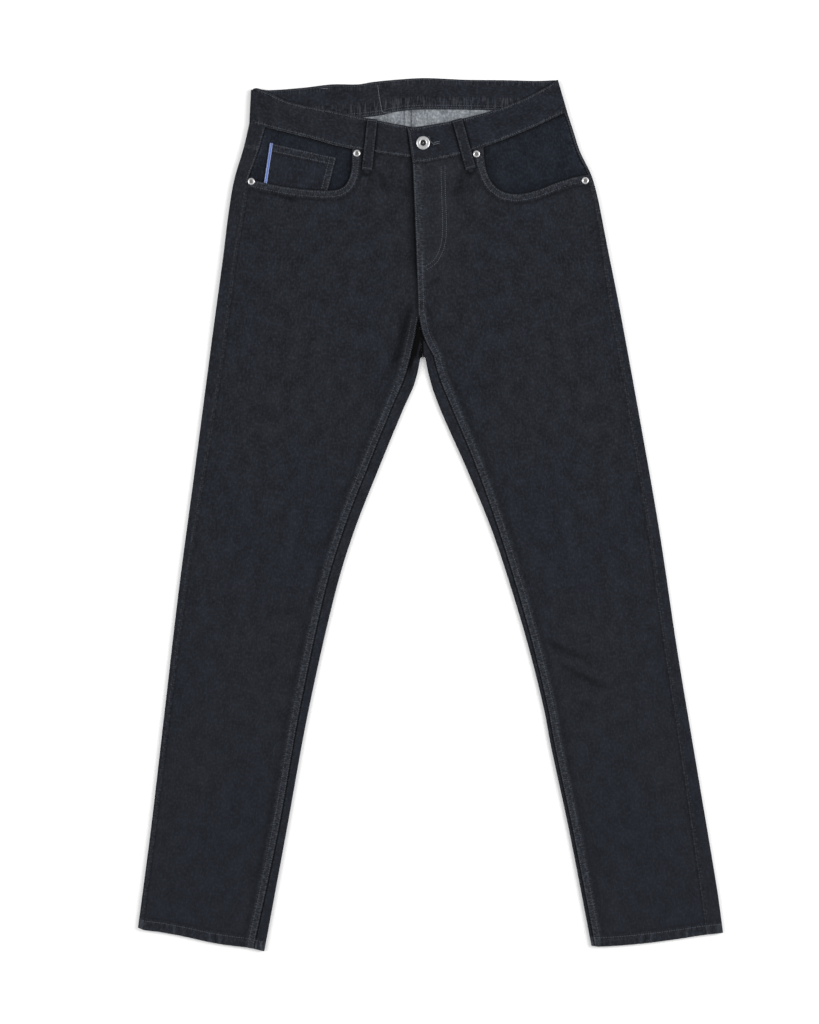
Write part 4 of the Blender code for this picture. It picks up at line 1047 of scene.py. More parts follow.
def grid_mesh(name, points, uv, marks, keep, upwards):
    """A sheet from a grid of points in millimetres, with cloth coordinates and marks.

    Faces that keep turns down are left out. Upwards says which way most of the sheet
    faces; None asks this only of its highest face.
    """
    rows, columns = points.shape[:2]
    bm = bmesh.new()
    bmesh.ops.create_grid(bm, x_segments=columns - 1, y_segments=rows - 1, size=0.5)
    if keep is not None:
        doomed = []
        for face in bm.faces:
            middle = face.calc_center_median()
            if not keep(int((middle.y + 0.5) * (rows - 1)), int((middle.x + 0.5) * (columns - 1))):
                doomed.append(face)
        bmesh.ops.delete(bm, geom=doomed, context="FACES")
    mesh = bpy.data.meshes.new(name)
    bm.to_mesh(mesh)
    bm.free()

    flat = read_all(mesh.vertices, "co")
    i = np.rint((flat[:, 1] + 0.5) * (rows - 1)).astype(int)
    j = np.rint((flat[:, 0] + 0.5) * (columns - 1)).astype(int)
    placed = points[i, j].copy()
    placed[:, 1] -= hem_bow(placed[:, 0], placed[:, 1])
    mesh.vertices.foreach_set("co", (placed * MM).astype(np.float32).ravel())

    corners = read_all(mesh.loops, "vertex_index", 1, np.int32)[:, 0]
    layer = mesh.uv_layers.new(name="cloth")
    layer.data.foreach_set("uv", (uv[i, j][corners] * MM).astype(np.float32).ravel())
    for key, values in marks.items():
        values = np.broadcast_to(values, (rows, columns, *values.shape[2:]))
        kind, field = ("FLOAT_VECTOR", "vector") if values.ndim == 3 else ("FLOAT", "value")
        attribute = mesh.attributes.new(key, kind, "POINT")
        attribute.data.foreach_set(field, values[i, j].astype(np.float32).ravel())
    mesh.update()

    lean = read_all(mesh.polygons, "normal")[:, 2]
    if upwards is None:
        total = lean[np.argmax(read_all(mesh.polygons, "center")[:, 2])]
    else:
        total = np.sum(lean * read_all(mesh.polygons, "area", 1)[:, 0])
    if (total > 0.0) != (upwards is not False):
        mesh.flip_normals()
    mesh.shade_smooth()
    return mesh


def add_piece(name, mesh, materials, node=None):
    """Put a mesh in the scene as a piece that rides on the one body."""
    piece = bpy.data.objects.new(name, mesh)
    bpy.context.scene.collection.objects.link(piece)
    for material in materials:
        mesh.materials.append(material)
    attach(piece, "root")
    if node is not None:
        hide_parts(node)
    return piece


def thicken(piece, thickness, reverse, group):
    """Give a sheet its wall, inwards from the side that shows."""
    wall = piece.modifiers.new("wall", "SOLIDIFY")
    wall.thickness = thickness * MM
    wall.offset = -1.0
    wall.use_rim = True
    wall.material_offset = 1 if reverse else 0
    wall.vertex_group = group


def thick_hem(piece):
    """Vertex weights that double the wall over the hem."""
    group = piece.vertex_groups.new(name="wall")
    x, y = (read_all(piece.data.vertices, "co")[:, :2] / MM).T
    hem = (y < 0.0) & (hem_distance(x, y + hem_bow(x, y)) < HEM_HEIGHT - 0.5)
    group.add(np.flatnonzero(~hem).tolist(), CLOTH / HEM_CLOTH, "REPLACE")
    group.add(np.flatnonzero(hem).tolist(), 1.0, "REPLACE")
    return group.name


def cloth_piece(name, node, points, uv, marks, wall, materials=(DENIM, REVERSE), keep=None,
                upwards=True, hemmed=False):
    """A sheet of cloth with its wall, in place of the solid of the same piece."""
    mesh = grid_mesh(name, points, uv, marks, keep, upwards)
    piece = add_piece(name, mesh, materials, node)
    thicken(piece, wall, len(materials) > 1, thick_hem(piece) if hemmed else "")
    return piece


def run_across(points):
    """Distance of each point from the start of its row."""
    steps = np.linalg.norm(np.diff(points, axis=1), axis=2)
    return np.concatenate([np.zeros((points.shape[0], 1)), np.cumsum(steps, axis=1)], 1)


def cloth_uv(points, side, offset):
    """Cloth coordinates: distance across each row, and distance along the leg's grain."""
    across = run_across(points)
    lean = math.radians(9.0) * side_sign(side)
    along = points[..., 0] * math.sin(lean) - points[..., 1] * math.cos(lean)
    width = points[..., 0] * math.cos(lean) + points[..., 1] * math.sin(lean)
    start = width[:, :1] * -side_sign(side)
    return np.stack([start + across + offset, along + offset * 1.7], -1)


def leg_places():
    """Places of the rows down a leg below the pocket mouth."""
    hip = np.arange(MOUTH_PLACE, FORK_PLACE, 1.0 / 13.0)
    above_fork = FORK_PLACE - np.array([0.05, 0.025, 0.002])
    fork = np.linspace(FORK_PLACE, LEG_PLACE, 26)[:-1]
    leg = np.linspace(LEG_PLACE, 9.97, 250)
    hem = np.linspace(9.972, HEM_PLACE, 18)
    return np.concatenate([hip, above_fork, fork, leg, hem])


def graded(start, end, count, near):
    """Numbers from start to end, closer together at both ends."""
    t = np.linspace(0.0, 1.0, count)
    bent = 0.5 - 0.5 * np.cos(math.pi * t)
    return start + (end - start) * mix(t, bent, near)


def front_flat(side):
    """Grid of a front panel seen from above, and where its pocket mouth is cut out."""
    places = leg_places()
    upper = np.linspace(0.0, MOUTH_PLACE, 24)[:-1]
    middle = cut(side, np.array(MOUTH_PLACE))
    corner = along_points(SCOOP[side], SCOOP_CORNER)
    start = outseam_point(middle, SEAM_GAP)
    share = np.linalg.norm(corner - start) / np.linalg.norm(middle["front"] - start)
    mouth_columns = graded(0.0, share, 40, 0.7)
    columns = np.concatenate([mouth_columns, graded(share, 1.0, 30, 0.75)[1:]])
    data = cut(side, places)
    begin = outseam_point(data, SEAM_GAP)
    plain = begin[:, None] + (data["front"] - begin)[:, None] * columns[None, :, None]

    along = np.clip(columns / share, 0.0, 1.0)
    past_lead_in = np.maximum((along - SCOOP_LEAD_IN) / (1.0 - SCOOP_LEAD_IN), 0.0)
    on_scoop = along_points(SCOOP[side], past_lead_in * SCOOP_CORNER)
    lead_in = start + (on_scoop[0] - start) * (along / SCOOP_LEAD_IN)[:, None]
    on_scoop = np.where(along[:, None] < SCOOP_LEAD_IN, lead_in, on_scoop)
    past = np.clip((columns - share) / (1.0 - share), 0.0, 1.0)[:, None]
    straight = corner + (middle["front"] - corner) * past
    mouth = np.where(columns[:, None] <= share, on_scoop, straight)
    fade = 1.0 - ease(places - MOUTH_PLACE)
    body = plain + (mouth - plain[0])[None] * fade[:, None, None]

    top_x = SCOOP[side][-1].x
    end_x = float(centre_x(LEVELS[side][0].front_y))
    along_x = mix(top_x, end_x, past[:, 0])
    seam = np.stack([along_x, seam_y(WAIST_SEAM[side], along_x) - SEAM_GAP / 2.0], -1)
    high = mix(seam[None], mouth[None], (upper / MOUTH_PLACE)[:, None, None])
    edge = along_points(SCOOP[side], mix(len(SCOOP[side]) - 1.0, SCOOP_CORNER,
                                         upper / MOUTH_PLACE))
    edge = mix(edge, seam[len(mouth_columns) - 1], beside(upper, 0.5)[:, None])
    lean = edge - high[:, len(mouth_columns) - 1]
    high = high + lean[:, None] * (1.0 - ease(past[:, 0] / 0.4))[None, :, None]
    pull = ease((past[:, 0] - 0.6) / 0.4)[None]
    half = side_sign(side) * SEAM_GAP / 2.0
    high[..., 0] += pull * (centre_x(high[..., 1]) + half - high[:, -1:, 0])
    flat = np.concatenate([high, body], 0)

    if side == "right":
        reach = FLY_UNDERLAP * ease((flat[:, -1, 1] - FLY_FOOT_Y) / 12.0)
        extra = [flat[:, -1] + np.stack([reach * k, 0.0 * reach], -1) for k in (0.5, 1.0)]
        flat = np.concatenate([flat, np.stack(extra, 1)], 1)
    return flat, len(upper), len(mouth_columns) - 1


def make_front(side):
    """Front panel with its pocket mouth, fly edge, seams and hem."""
    flat, mouth_row, mouth_column = front_flat(side)
    x, y = flat[..., 0], flat[..., 1]
    points = lifted(flat, front_z(side, x, y))
    piece = cloth_piece(
        f"{side}_front_cloth", f"{side}_front", points, cloth_uv(points, side, 37.0),
        front_marks(side, x, y), HEM_CLOTH, hemmed=True,
        keep=lambda i, j: i >= mouth_row or j >= mouth_column)


def fold_round(edge, top_way, bottom_way, radius=FOLD_RADIUS):
    """Points round a folded edge, from just past its top to just before its bottom."""
    t = np.arange(1, FOLD_STEPS) / FOLD_STEPS
    angle = math.pi / 2.0 - math.pi * t
    way = mix(top_way[:, None], bottom_way[:, None], t[None, :, None])
    flat = edge[:, None] + way * (radius * (1.0 - np.cos(angle)))[None, :, None]
    z = seat_lift(edge[:, 1])[:, None] + radius + radius * np.sin(angle)[None]
    return lifted(flat, z)


# Columns of a back panel on its outer strip, and with those round its outer fold
STRIP_COLUMNS = 10
FOLD_STEPS = 9
UPPER_COLUMNS = STRIP_COLUMNS + FOLD_STEPS - 1


def lay_strip(side, edge, way, distances):
    """Points of the back panel on the upper side, at distances from the fold."""
    flat = edge[:, None] + way[:, None] * distances[..., None]
    z = strip_z(side, flat[..., 0], flat[..., 1])
    rise = ease((distances - FOLD_RADIUS) / 4.0)
    base = seat_lift(flat[..., 1]) + 2.0 * FOLD_RADIUS
    return lifted(flat, mix(base, z, rise))


def lay_bottom(start, end, shares):
    """Points of the underside from just inside one fold to the other end."""
    flat = start[:, None] + (end - start)[:, None] * shares[None, :, None]
    return lifted(flat, seat_lift(flat[..., 1]))


def outer_side(side, data, under):
    """Columns of a back panel from the outseam round the outer fold to its far edge."""
    outer = data["outer"]
    top_way = unit(data["front"] - outer)
    bottom_way = unit(data["back"] - outer)
    span = (data["inset"] - FOLD_RADIUS)[:, None]
    near = FOLD_RADIUS + span * np.linspace(1.0, 0.0, STRIP_COLUMNS)[None]
    return [lay_strip(side, outer, top_way, near), fold_round(outer, top_way, bottom_way),
            lay_bottom(outer + bottom_way * FOLD_RADIUS, data["back"], under)]


def make_back(side):
    """Back panel round both folded edges of the leg, from the yoke to the hem."""
    hip = np.arange(YOKE_PLACE, MOUTH_PLACE, 1.0 / 16.0)
    places = np.concatenate([hip, leg_places()])
    data = cut(side, places)
    columns = outer_side(side, data, np.linspace(0.0, 1.0, 20))
    outside = sum(part.shape[1] for part in columns)
    edge, way = data["edge"], data["way"]
    inner = edge + way * FOLD_RADIUS
    for flat in ((data["back"] + inner) / 2.0, inner):
        columns.append(lifted(flat, seat_lift(flat[:, 1]))[:, None])
    columns.append(fold_round(edge, way, way)[:, ::-1])
    span = (data["inner_inset"] - FOLD_RADIUS)[:, None]
    near = FOLD_RADIUS + span * np.linspace(0.0, 1.0, 12)[None]
    columns.append(lay_strip(side, edge, way, near))
    points = np.concatenate(columns, 1)
    fork_row = int(np.argmax(places >= FORK_PLACE - 1e-9))
    column = np.arange(points.shape[1])[None]
    upper = (column < UPPER_COLUMNS) | (column >= outside + 2)
    piece = cloth_piece(
        f"{side}_back_cloth", f"{side}_back", points, cloth_uv(points, side, 411.0),
        strip_marks(side, points[..., 0], points[..., 1], upper), HEM_CLOTH, hemmed=True,
        keep=lambda i, j: i >= fork_row or j < outside - 1, upwards=False)


# The centre back seam inside the waist: where its dark lines lie, and their width and depth
CENTRE_BACK_ROWS = ((-33.9, 1.0, 0.5), (-27.7, 0.8, 0.3), (-24.8, 1.0, 0.62))


def make_yoke(side):
    """Back yoke from the waistband to the back panel, with its pale reverse inside."""
    places = np.linspace(0.0, YOKE_PLACE, 26)
    under = np.concatenate([np.linspace(0.0, 0.72, 34)[:-1], np.linspace(0.72, 1.0, 52)])
    points = np.concatenate(outer_side(side, cut(side, places), under), 1)
    column = np.arange(points.shape[1])[None]
    x = points[..., 0]
    front_seam = seam_y(WAIST_SEAM[side], x) - points[:1, :, 1]
    back_seam = seam_y(WAIST_SEAM["back"], x) - points[:1, :, 1]
    wanted = np.where(column < UPPER_COLUMNS, 0.0, back_seam)
    wanted = np.where(column < STRIP_COLUMNS, front_seam, wanted)
    wanted = wanted + np.where(column < UPPER_COLUMNS, -SEAM_GAP / 2.0, 0.1)
    points[..., 1] += wanted * beside(places, YOKE_PLACE)[:, None]
    points[-1:, :, 1] += SEAM_GAP / 2.0
    marks = strip_marks(side, points[..., 0], points[..., 1], column < UPPER_COLUMNS)
    for place, width, strength in CENTRE_BACK_ROWS:
        row = strength * ridge(points[..., 0], place, width) * (column >= UPPER_COLUMNS + 4)
        marks["shade"] = np.maximum(marks["shade"], row)
    piece = cloth_piece(f"{side}_yoke_cloth", f"{side}_yoke", points,
                        cloth_uv(points, side, 823.0), marks, CLOTH, upwards=False)


def facing_z(side, x, y):
    """Height of the pocket facing, lower where the coin pocket lies on it."""
    drop = LAYER
    if side == "right":
        drop = LAYER + LAYER * ease((fold_distance(x, y) - 20.0) / 12.0)
    away, along = near_line(f"{side}_outseam", x, y)
    edge = 0.1 * wander(along, 8.0, 1.7) * beside(away, 14.0)
    return top_z(x, y) - drop + edge


def make_facing(side):
    """The cloth seen inside the pocket mouth."""
    end_x = SCOOP[side][-1].x - side_sign(side) * FACING_MARGIN
    places = np.linspace(0.0, FACING_PLACE, 56)
    data = cut(side, places)
    start = outseam_point(data, SEAM_GAP)
    start[0, 1] = seam_y(WAIST_SEAM[side], start[0, 0]) - SEAM_GAP / 2.0
    t = graded(0.0, 1.0, 64, 0.3)
    x = start[:, :1] + (end_x - start[:, :1]) * t[None]
    front_y = data["front"][:, 1] + FACING_RISE * (FACING_PLACE - places)
    share = (x - start[:, :1]) / (data["front"][:, :1] - start[:, :1])
    y = start[:, 1:] + (front_y[:, None] - start[:, 1:]) * share
    seam = seam_y(WAIST_SEAM[side], x) - SEAM_GAP / 2.0
    y = y + (seam - y[:1]) * beside(places, 1.6)[:, None]
    points = np.stack([x, y, facing_z(side, x, y)], -1)
    outseam, along = near_line(f"{side}_outseam", x, y)
    mouth = near_line(f"{side}_mouth", x, y)[0]
    # Painted shadow under the pocket mouth's edge and under the waistband.
    shade = deepest(0.6 * beside(mouth, 5.0), 0.3 * beside(mouth, 18.0),
                    0.6 * beside(near_line(f"{side}_waist", x, y)[0], 6.0))
    marks = {"wear_and_highlight": 0.15 * beside(outseam, 2.0), "shade": shade,
             "sewn": sewn_bands([(outseam, along, 3.2, 0.7)])}
    piece = cloth_piece(f"{side}_facing_cloth", f"{side}_pocket_facing", points,
                        cloth_uv(points, side, 1201.0), marks, CLOTH, (DENIM_SHADED, REVERSE))


def coin_z(x, y):
    """Height of the coin pocket with its hemmed top and lapped side."""
    from_top, along = near_line("coin_top", x, y)
    from_side, down = near_line("coin_side", x, y)
    z = top_z(x, y) - LAYER + 0.15
    z = z + 0.35 * fade(from_top, 9.5, 1.5) + 0.3 * fade(from_side, 8.5, 1.5)
    z = z + 0.12 * wander(along, 8.0, 0.2) * beside(from_top, 14.0)
    z = z + 0.1 * wander(down, 7.0, 1.2) * beside(from_side, 12.0)
    return z - 0.3 * ridge(from_top, 11.4, 1.6) - 0.2 * ridge(from_side, 10.4, 1.6)


def make_selvedge(corner, down):
    """The woven edge of the cloth down the coin pocket's open side."""
    t = np.linspace(-0.5, SELVEDGE_LENGTH, 60)
    s = np.linspace(0.0, 1.0, 6)
    wave = 0.18 * wander(t, 6.0, 0.6)
    aside = np.array([-down[1], down[0]])
    flat = (corner + down * t[:, None])[:, None] + aside * (
        ((s - 0.5) * SELVEDGE_WIDTH)[None, :] + wave[:, None])[..., None]
    x, y = flat[..., 0], flat[..., 1]
    points = lifted(flat, coin_z(x, y) + (0.25 + 0.12 * np.sin(math.pi * s)[None]))
    uv = np.stack(np.broadcast_arrays(s * SELVEDGE_WIDTH, t[:, None]), -1)
    cloth_piece("selvedge_edge", None, points, uv, {}, SELVEDGE_CLOTH, (SELVEDGE,))


def make_coin_pocket():
    """Coin pocket with its selvedge edge."""
    a, b, c, d = [np.array(corner) for corner in COIN_POCKET]
    s = np.linspace(0.0, 1.0, 64)[:, None]
    t = np.linspace(0.0, 1.0, 50)[:, None, None]
    flat = mix(mix(a, b, s), mix(d, c, s), t)
    x, y = flat[..., 0], flat[..., 1]
    points = lifted(flat, coin_z(x, y))
    top, top_at = near_line("coin_top", x, y)
    side, side_at = near_line("coin_side", x, y)
    wear_and_highlight = 0.38 * beside(top, 2.0) + 0.34 * beside(side, 2.0) + 0.16 * ridge(top, 9.0, 1.2)
    # Painted shadow below the hemmed top and beside the lapped side, and under the pocket mouth's
    # edge.
    shade = deepest(0.35 * ridge(top, 11.6, 1.6), 0.28 * ridge(side, 10.6, 1.6),
                    0.5 * beside(near_line("right_mouth", x, y)[0], 4.5))
    marks = {"wear_and_highlight": wear_and_highlight + 0.12 * ridge(side, 8.0, 1.2), "shade": shade,
             "sewn": sewn_bands([(top, top_at, 9.4, 0.75), (side, side_at, 8.4, 0.75)])}
    piece = cloth_piece("coin_pocket_cloth", "coin_pocket", points,
                        cloth_uv(points, "right", 1603.0), marks, CLOTH)
    make_selvedge(a, unit(d - a))


def band_point(part, s, v):
    """Points of the waistband: s along a stretch, v from the seam to the upper edge."""
    x_low = mix(*BAND_SPAN[part][0], s)
    x_high = mix(*BAND_SPAN[part][1], s)
    low = np.stack([x_low, seam_y(WAIST_SEAM[part], x_low) + SEAM_GAP / 2.0], -1)
    high = np.stack([x_high, seam_y(WAIST_TOP[part], x_high)], -1)
    return low + (high - low) * np.asarray(v)[..., None]


def band_relief(part, x, v):
    """Edges rolled over, stitch grooves and the ripples of a gathered band."""
    from_edge = np.minimum(v, 1.0 - v) * BAND_HEIGHT
    roll = -1.0 * beside(from_edge, 1.6) ** 2
    groove = -0.18 * ridge(from_edge, 2.2, 0.8)
    low = 1.0 - ease(v / 0.45)
    high = 1.0 - ease((1.0 - v) / 0.3)
    pucker = 0.3 * wander(x, 9.5, 0.5) * low + 0.2 * wander(x, 12.0, 2.2) * high
    if part == "back":
        pucker = 0.55 * wander(x, 15.0, 0.9) * (0.35 + 0.65 * low) + 0.25 * wander(x, 7.0, 0.1)
    return roll + groove + pucker


def band_top_z(part, x, v):
    """Height of the front stretches of the waistband."""
    drop = 0.0
    if part == "right":
        drop = (BAND_CLOTH + SEAM_GAP) * ease((x - BAND_STEP_X) / BAND_STEP_WIDTH)
    return BAND_TOP - drop + band_relief(part, x, v)


def band_stretch(part, s, v):
    """Points of one flat stretch of the waistband, and its marks."""
    v = np.broadcast_to(v[:, None], (len(v), len(s)))
    flat = band_point(part, s[None], v)
    x, y = flat[..., 0], flat[..., 1]
    low, high = v * BAND_HEIGHT, (1.0 - v) * BAND_HEIGHT
    if part == "back":
        z = SEAT_LIFT - np.minimum(band_relief(part, x, v), 0.0) * 0.6
        # Dashes stretched across the back band's ripples: pale crests of wear and painted light,
        # painted shade between.
        sewn = sewn_bands([(low, x, 15.0, 0.8), (high, x, 7.0, 0.5)])
        sewn[..., 0] *= 0.25
        # Pale rims along both edges: wear and painted highlight.
        wear_and_highlight = 0.3 * beside(high, 1.6) + 0.3 * beside(low, 1.6)
        shade = 0.0 * x
    else:
        z = band_top_z(part, x, v)
        sewn = sewn_bands([(low, x, 4.2, 0.9), (high, x, 4.2, 0.7)])
        # Pale rims along both edges: wear and painted highlight.
        wear_and_highlight = 0.35 * beside(high, 1.7) + 0.22 * beside(low, 1.6)
        loop = near_line(f"{part}_loop", x, y)[0]
        # Painted shadow beside the belt loop.
        shade = 0.8 * beside(np.abs(loop - LOOP_WIDTH / 2.0), 5.0)
        tab = mix(BAND_SPAN["left"][0][1], BAND_SPAN["left"][1][1], v)
        if part == "right":
            # Painted shadow under the tab's end.
            shade = np.maximum(shade, 0.75 * beside(np.abs(x - tab), 5.5))
        else:
            wear_and_highlight = wear_and_highlight + 0.35 * beside(x - tab, 2.0)
    return lifted(flat, z), {"wear_and_highlight": wear_and_highlight, "shade": shade, "sewn": sewn}


def band_fold(side, v):
    """The waistband's fold at one side of the waist."""
    front_s, back_s = BAND_AIM[side]
    edge = band_point(side, 0.0 * v, v)
    front = band_point(side, 0.0 * v + front_s, v)
    back = band_point("back", 0.0 * v + back_s, v)
    points = fold_round(edge, unit(front - edge), unit(back - edge), radius=BAND_RADIUS)
    shape = points.shape[:2]
    # Pale rim along the upper edge: wear and painted highlight.
    wear_and_highlight = np.broadcast_to((0.35 * beside((1.0 - v) * BAND_HEIGHT, 1.7))[:, None], shape)
    return points, {"wear_and_highlight": wear_and_highlight, "shade": np.zeros(shape), "sewn": np.zeros((*shape, 3))}


def turned_back(stretch):
    """The same stretch with its columns in the other order."""
    points, marks = stretch
    return points[:, ::-1], {key: values[:, ::-1] for key, values in marks.items()}


def make_waistband():
    """One strip from its right end, under the button, round the back to its left end."""
    v = graded(0.0, 1.0, 25, 0.85)
    stretches = [turned_back(band_stretch("right", graded(*BAND_ENDS["right"], 150, 0.2), v)),
                 band_fold("right", v),
                 band_stretch("back", graded(*BAND_ENDS["back"], 250, 0.1), v),
                 turned_back(band_fold("left", v)),
                 band_stretch("left", graded(*BAND_ENDS["left"], 140, 0.2), v)]
    points = np.concatenate([stretch[0] for stretch in stretches], 1)
    marks = {key: np.concatenate([stretch[1][key] for stretch in stretches], 1)
             for key in ("wear_and_highlight", "shade", "sewn")}
    along = run_across(points)
    uv = np.stack(np.broadcast_arrays(v[:, None] * BAND_HEIGHT + 55.0, along + 2011.0), -1)
    piece = cloth_piece("waistband_cloth", "waistband", points, uv, marks, BAND_CLOTH, (DENIM,),
                        upwards=None)


def front_loop_path(side):
    """Places and heights along a front belt loop, from the waistband down to the front."""
    high, low = FRONT_LOOPS[side]
    band = BAND_TOP + SEAM_GAP + 0.1
    length = high.y - low.y
    seam = float(seam_y(WAIST_SEAM[side], mix(high.x, low.x, 0.7)))
    path = []
    for y, on_band in ((high.y, True), (seam + 10.0, True), (seam - 3.0, True),
                       (seam - 8.0, False), (low.y, False)):
        x = mix(high.x, low.x, (high.y - y) / length)
        z = band if on_band else float(top_z(np.array(x), np.array(y))) + 2.0 * SEAM_GAP
        path.append((x, y, z))
    return path


def make_strap(name, line, heights, node, under=False):
    """A belt loop along a line: folded edges, two grooves, and crowned unless under."""
    places = np.linspace(0.0, line.length, 60)
    way = line.ways(places)
    across = np.stack([-way[:, 1], way[:, 0]], -1)
    s = np.linspace(-1.0, 1.0, 15)
    flat = line.at(places)[:, None] + across[:, None] * (s * LOOP_WIDTH / 2.0)[None, :, None]
    ends = np.minimum(places, line.length - places)
    if under:
        height = np.broadcast_to(0.3 * np.abs(s)[None] ** 8, flat.shape[:2])
    else:
        z = np.interp(places, line.starts, heights)
        smooth = np.convolve(np.pad(z, 2, mode="edge"), np.ones(5) / 5.0, mode="valid")
        crown = 0.35 * (1.0 - np.abs(s) ** 6) - 0.16 * ridge(np.abs(s), 0.68, 0.09)
        height = (smooth - 0.25 * ridge(ends, 3.0, 1.5))[:, None] + STRAP + crown[None]
        height = height + 0.1 * wander(places, 6.0, 0.8)[:, None] * np.abs(s)[None]
    points = lifted(flat, height)
    edge, along = np.broadcast_arrays((1.0 - np.abs(s)) * LOOP_WIDTH / 2.0, places[:, None])
    uv = np.stack(np.broadcast_arrays(s * LOOP_WIDTH / 2.0 + 331.0, along), -1)
    wear_and_highlight = 0.34 * beside(edge, 1.6) + 0.4 * beside(ends, 2.0)[:, None]
    # Painted shade beside the stitched groove.
    marks = {"wear_and_highlight": wear_and_highlight, "shade": 0.3 * ridge(edge, 3.0, 0.8),
             "sewn": sewn_bands([(edge, along, 2.6, 0.7)])}
    piece = cloth_piece(name, node, points, uv, marks, STRAP, (DENIM,), upwards=not under)


def make_loops():
    """Belt loops in front, and flat ones under the back of the waistband."""
    for side in SIDES:
        path = front_loop_path(side)
        line = Line([(x, y) for x, y, z in path])
        make_strap(f"front_{side}_loop_cloth", line, [z for x, y, z in path],
                   f"front_{side}_belt_loop")
    for name, ends in BACK_LOOPS.items():
        make_strap(f"{name}_loop_cloth", Line(ends), None, f"{name}_belt_loop", True)


def pocket_outline(side, inset=0.0):
    """Corners of a back pocket, moved in from its edges."""
    x, y, turn = BACK_POCKET[side]
    top = BACK_POCKET_HALF_TOP - inset
    low = BACK_POCKET_HALF_BOTTOM - inset
    foot = -BACK_POCKET_SIDE + inset * 0.1
    corners = [(-top, -inset), (-low, foot), (0.0, -BACK_POCKET_POINT + inset * 1.05),
               (low, foot), (top, -inset)]
    c = math.cos(math.radians(turn))
    s = math.sin(math.radians(turn))
    return [(x + c * px - s * py, y + s * px + c * py) for px, py in corners]


def make_back_pocket(side):
    """Patch pocket under the back panel, with a hemmed opening."""
    corners = pocket_outline(side)
    s = np.linspace(0.0, 1.0, 61)
    top = Line([corners[0], corners[4]])
    bottom = Line(corners[1:4])
    t = np.linspace(0.0, 1.0, 56)[:, None, None]
    flat = mix(top.at(s * top.length)[None], bottom.at(s * bottom.length)[None], t)
    x, y = flat[..., 0], flat[..., 1]
    away, along = Line(corners).near(x, y)
    mouth, mouth_at = top.near(x, y)
    z = 0.35 * (1.0 - ease(np.minimum(away, mouth) / 1.4)) + 0.15 * ridge(mouth, 22.0, 1.2)
    points = lifted(flat, z)
    marks = {"wear_and_highlight": 0.3 * beside(np.minimum(away, mouth), 2.0), "shade": 0.0 * x,
             "sewn": sewn_bands([(away, along, 9.0, 0.6), (mouth, mouth_at, 22.0, 0.35)])}
    piece = cloth_piece(f"{side}_back_pocket_cloth", f"{side}_back_pocket", points,
                        cloth_uv(points, side, 1903.0), marks, PATCH, upwards=False)


# Stitches


def stitch_grain():
    """Points and faces of one stitch, as a small rounded grain."""
    bm = bmesh.new()
    bmesh.ops.create_icosphere(bm, subdivisions=1, radius=1.0)
    points = np.array([tuple(vert.co) for vert in bm.verts])
    faces = np.array([[vert.index for vert in face.verts] for face in bm.faces])
    bm.free()
    return points, faces


def sew(name, rows, material, pitch=STITCH_PITCH, width=STITCH_WIDTH, under=False):
    """Stitches as small grains along rows, each row a Line and its height function."""
    grain, grain_faces = stitch_grain()
    size = np.array([min(STITCH_LENGTH, pitch * 0.8), width, STITCH_HEIGHT]) / 2.0
    up = -1.0 if under else 1.0
    verts = []
    for line, height in rows:
        count = max(int(line.length / pitch), 1)
        middle = (np.arange(count) + 0.5) * line.length / count
        centre = line.at(middle)
        way = line.ways(middle)
        ahead = centre + way * STITCH_LENGTH / 2.0
        behind = centre - way * STITCH_LENGTH / 2.0
        z = height(centre[:, 0], centre[:, 1]) + up * 0.06
        rise = height(ahead[:, 0], ahead[:, 1]) - height(behind[:, 0], behind[:, 1])
        tangent = unit(lifted(way, rise / STITCH_LENGTH))
        across = unit(np.cross([0.0, 0.0, 1.0], tangent))
        frames = np.stack([tangent, across, np.cross(tangent, across)], 1)
        placed = lifted(centre, z)[:, None] + np.einsum("pk,ckj->cpj", grain * size, frames)
        verts.append(placed.reshape(-1, 3))
    verts = np.concatenate(verts)
    verts[:, 1] -= hem_bow(verts[:, 0], verts[:, 1])
    copies = np.arange(len(verts) // len(grain)) * len(grain)
    faces = (copies[:, None, None] + grain_faces[None]).reshape(-1, 3)
    mesh = bpy.data.meshes.new(name)
    mesh.from_pydata((verts * MM).tolist(), [], faces.tolist())
    mesh.shade_smooth()
    add_piece(name, mesh, [material])


def sew_leg(side):
    """Inseam and hem stitching of one leg."""
    sign = side_sign(side)
    top = partial(front_z, side)
    inseam = LINES[f"{side}_inseam"]
    sew(f"{side}_inseam_stitches",
        [(inseam.shifted(sign * away), top) for away in FELL_ROWS], THREAD)
    a, b = HEM_ENDS[side]
    way = unit(b - a)
    up = np.array([-way[1], way[0]]) * (1.0 if way[0] > 0.0 else -1.0)
    hem = Line(np.linspace(a + way * HEM_ROW_END + up * HEM_ROW,
                           b - way * HEM_ROW_END + up * HEM_ROW, 40))
    sew(f"{side}_hem_stitches", [(hem, top)], THREAD)


def fly_rows():
    """The curved double row that holds the fly."""
    rows = []
    for gap in (0.0, 5.0):
        down = [(13.6 + gap, 452.0 + gap * 0.3), (14.2 + gap, 420.0), (15.4 + gap, 388.0),
                (15.2 + gap, 362.0), (12.0 + gap * 0.9, 345.0 - gap * 0.3),
                (4.5 + gap * 0.6, 330.5 - gap * 0.8), (-6.0 + gap * 0.1, 322.5 - gap)]
        rows.append(Line(along_points(down, np.linspace(0.0, len(down) - 1.0, 50))))
    return rows


def level(part, v):
    """Height function of one row along the waistband."""
    return lambda x, y: band_top_z(part, x, np.full(np.shape(x), v))


def steady(z):
    """Height function of a level place."""
    return lambda x, y: np.full(np.shape(x), z)


def paths(height, *routes):
    """Rows along given routes, all on one height function."""
    return [(Line(route), height) for route in routes]


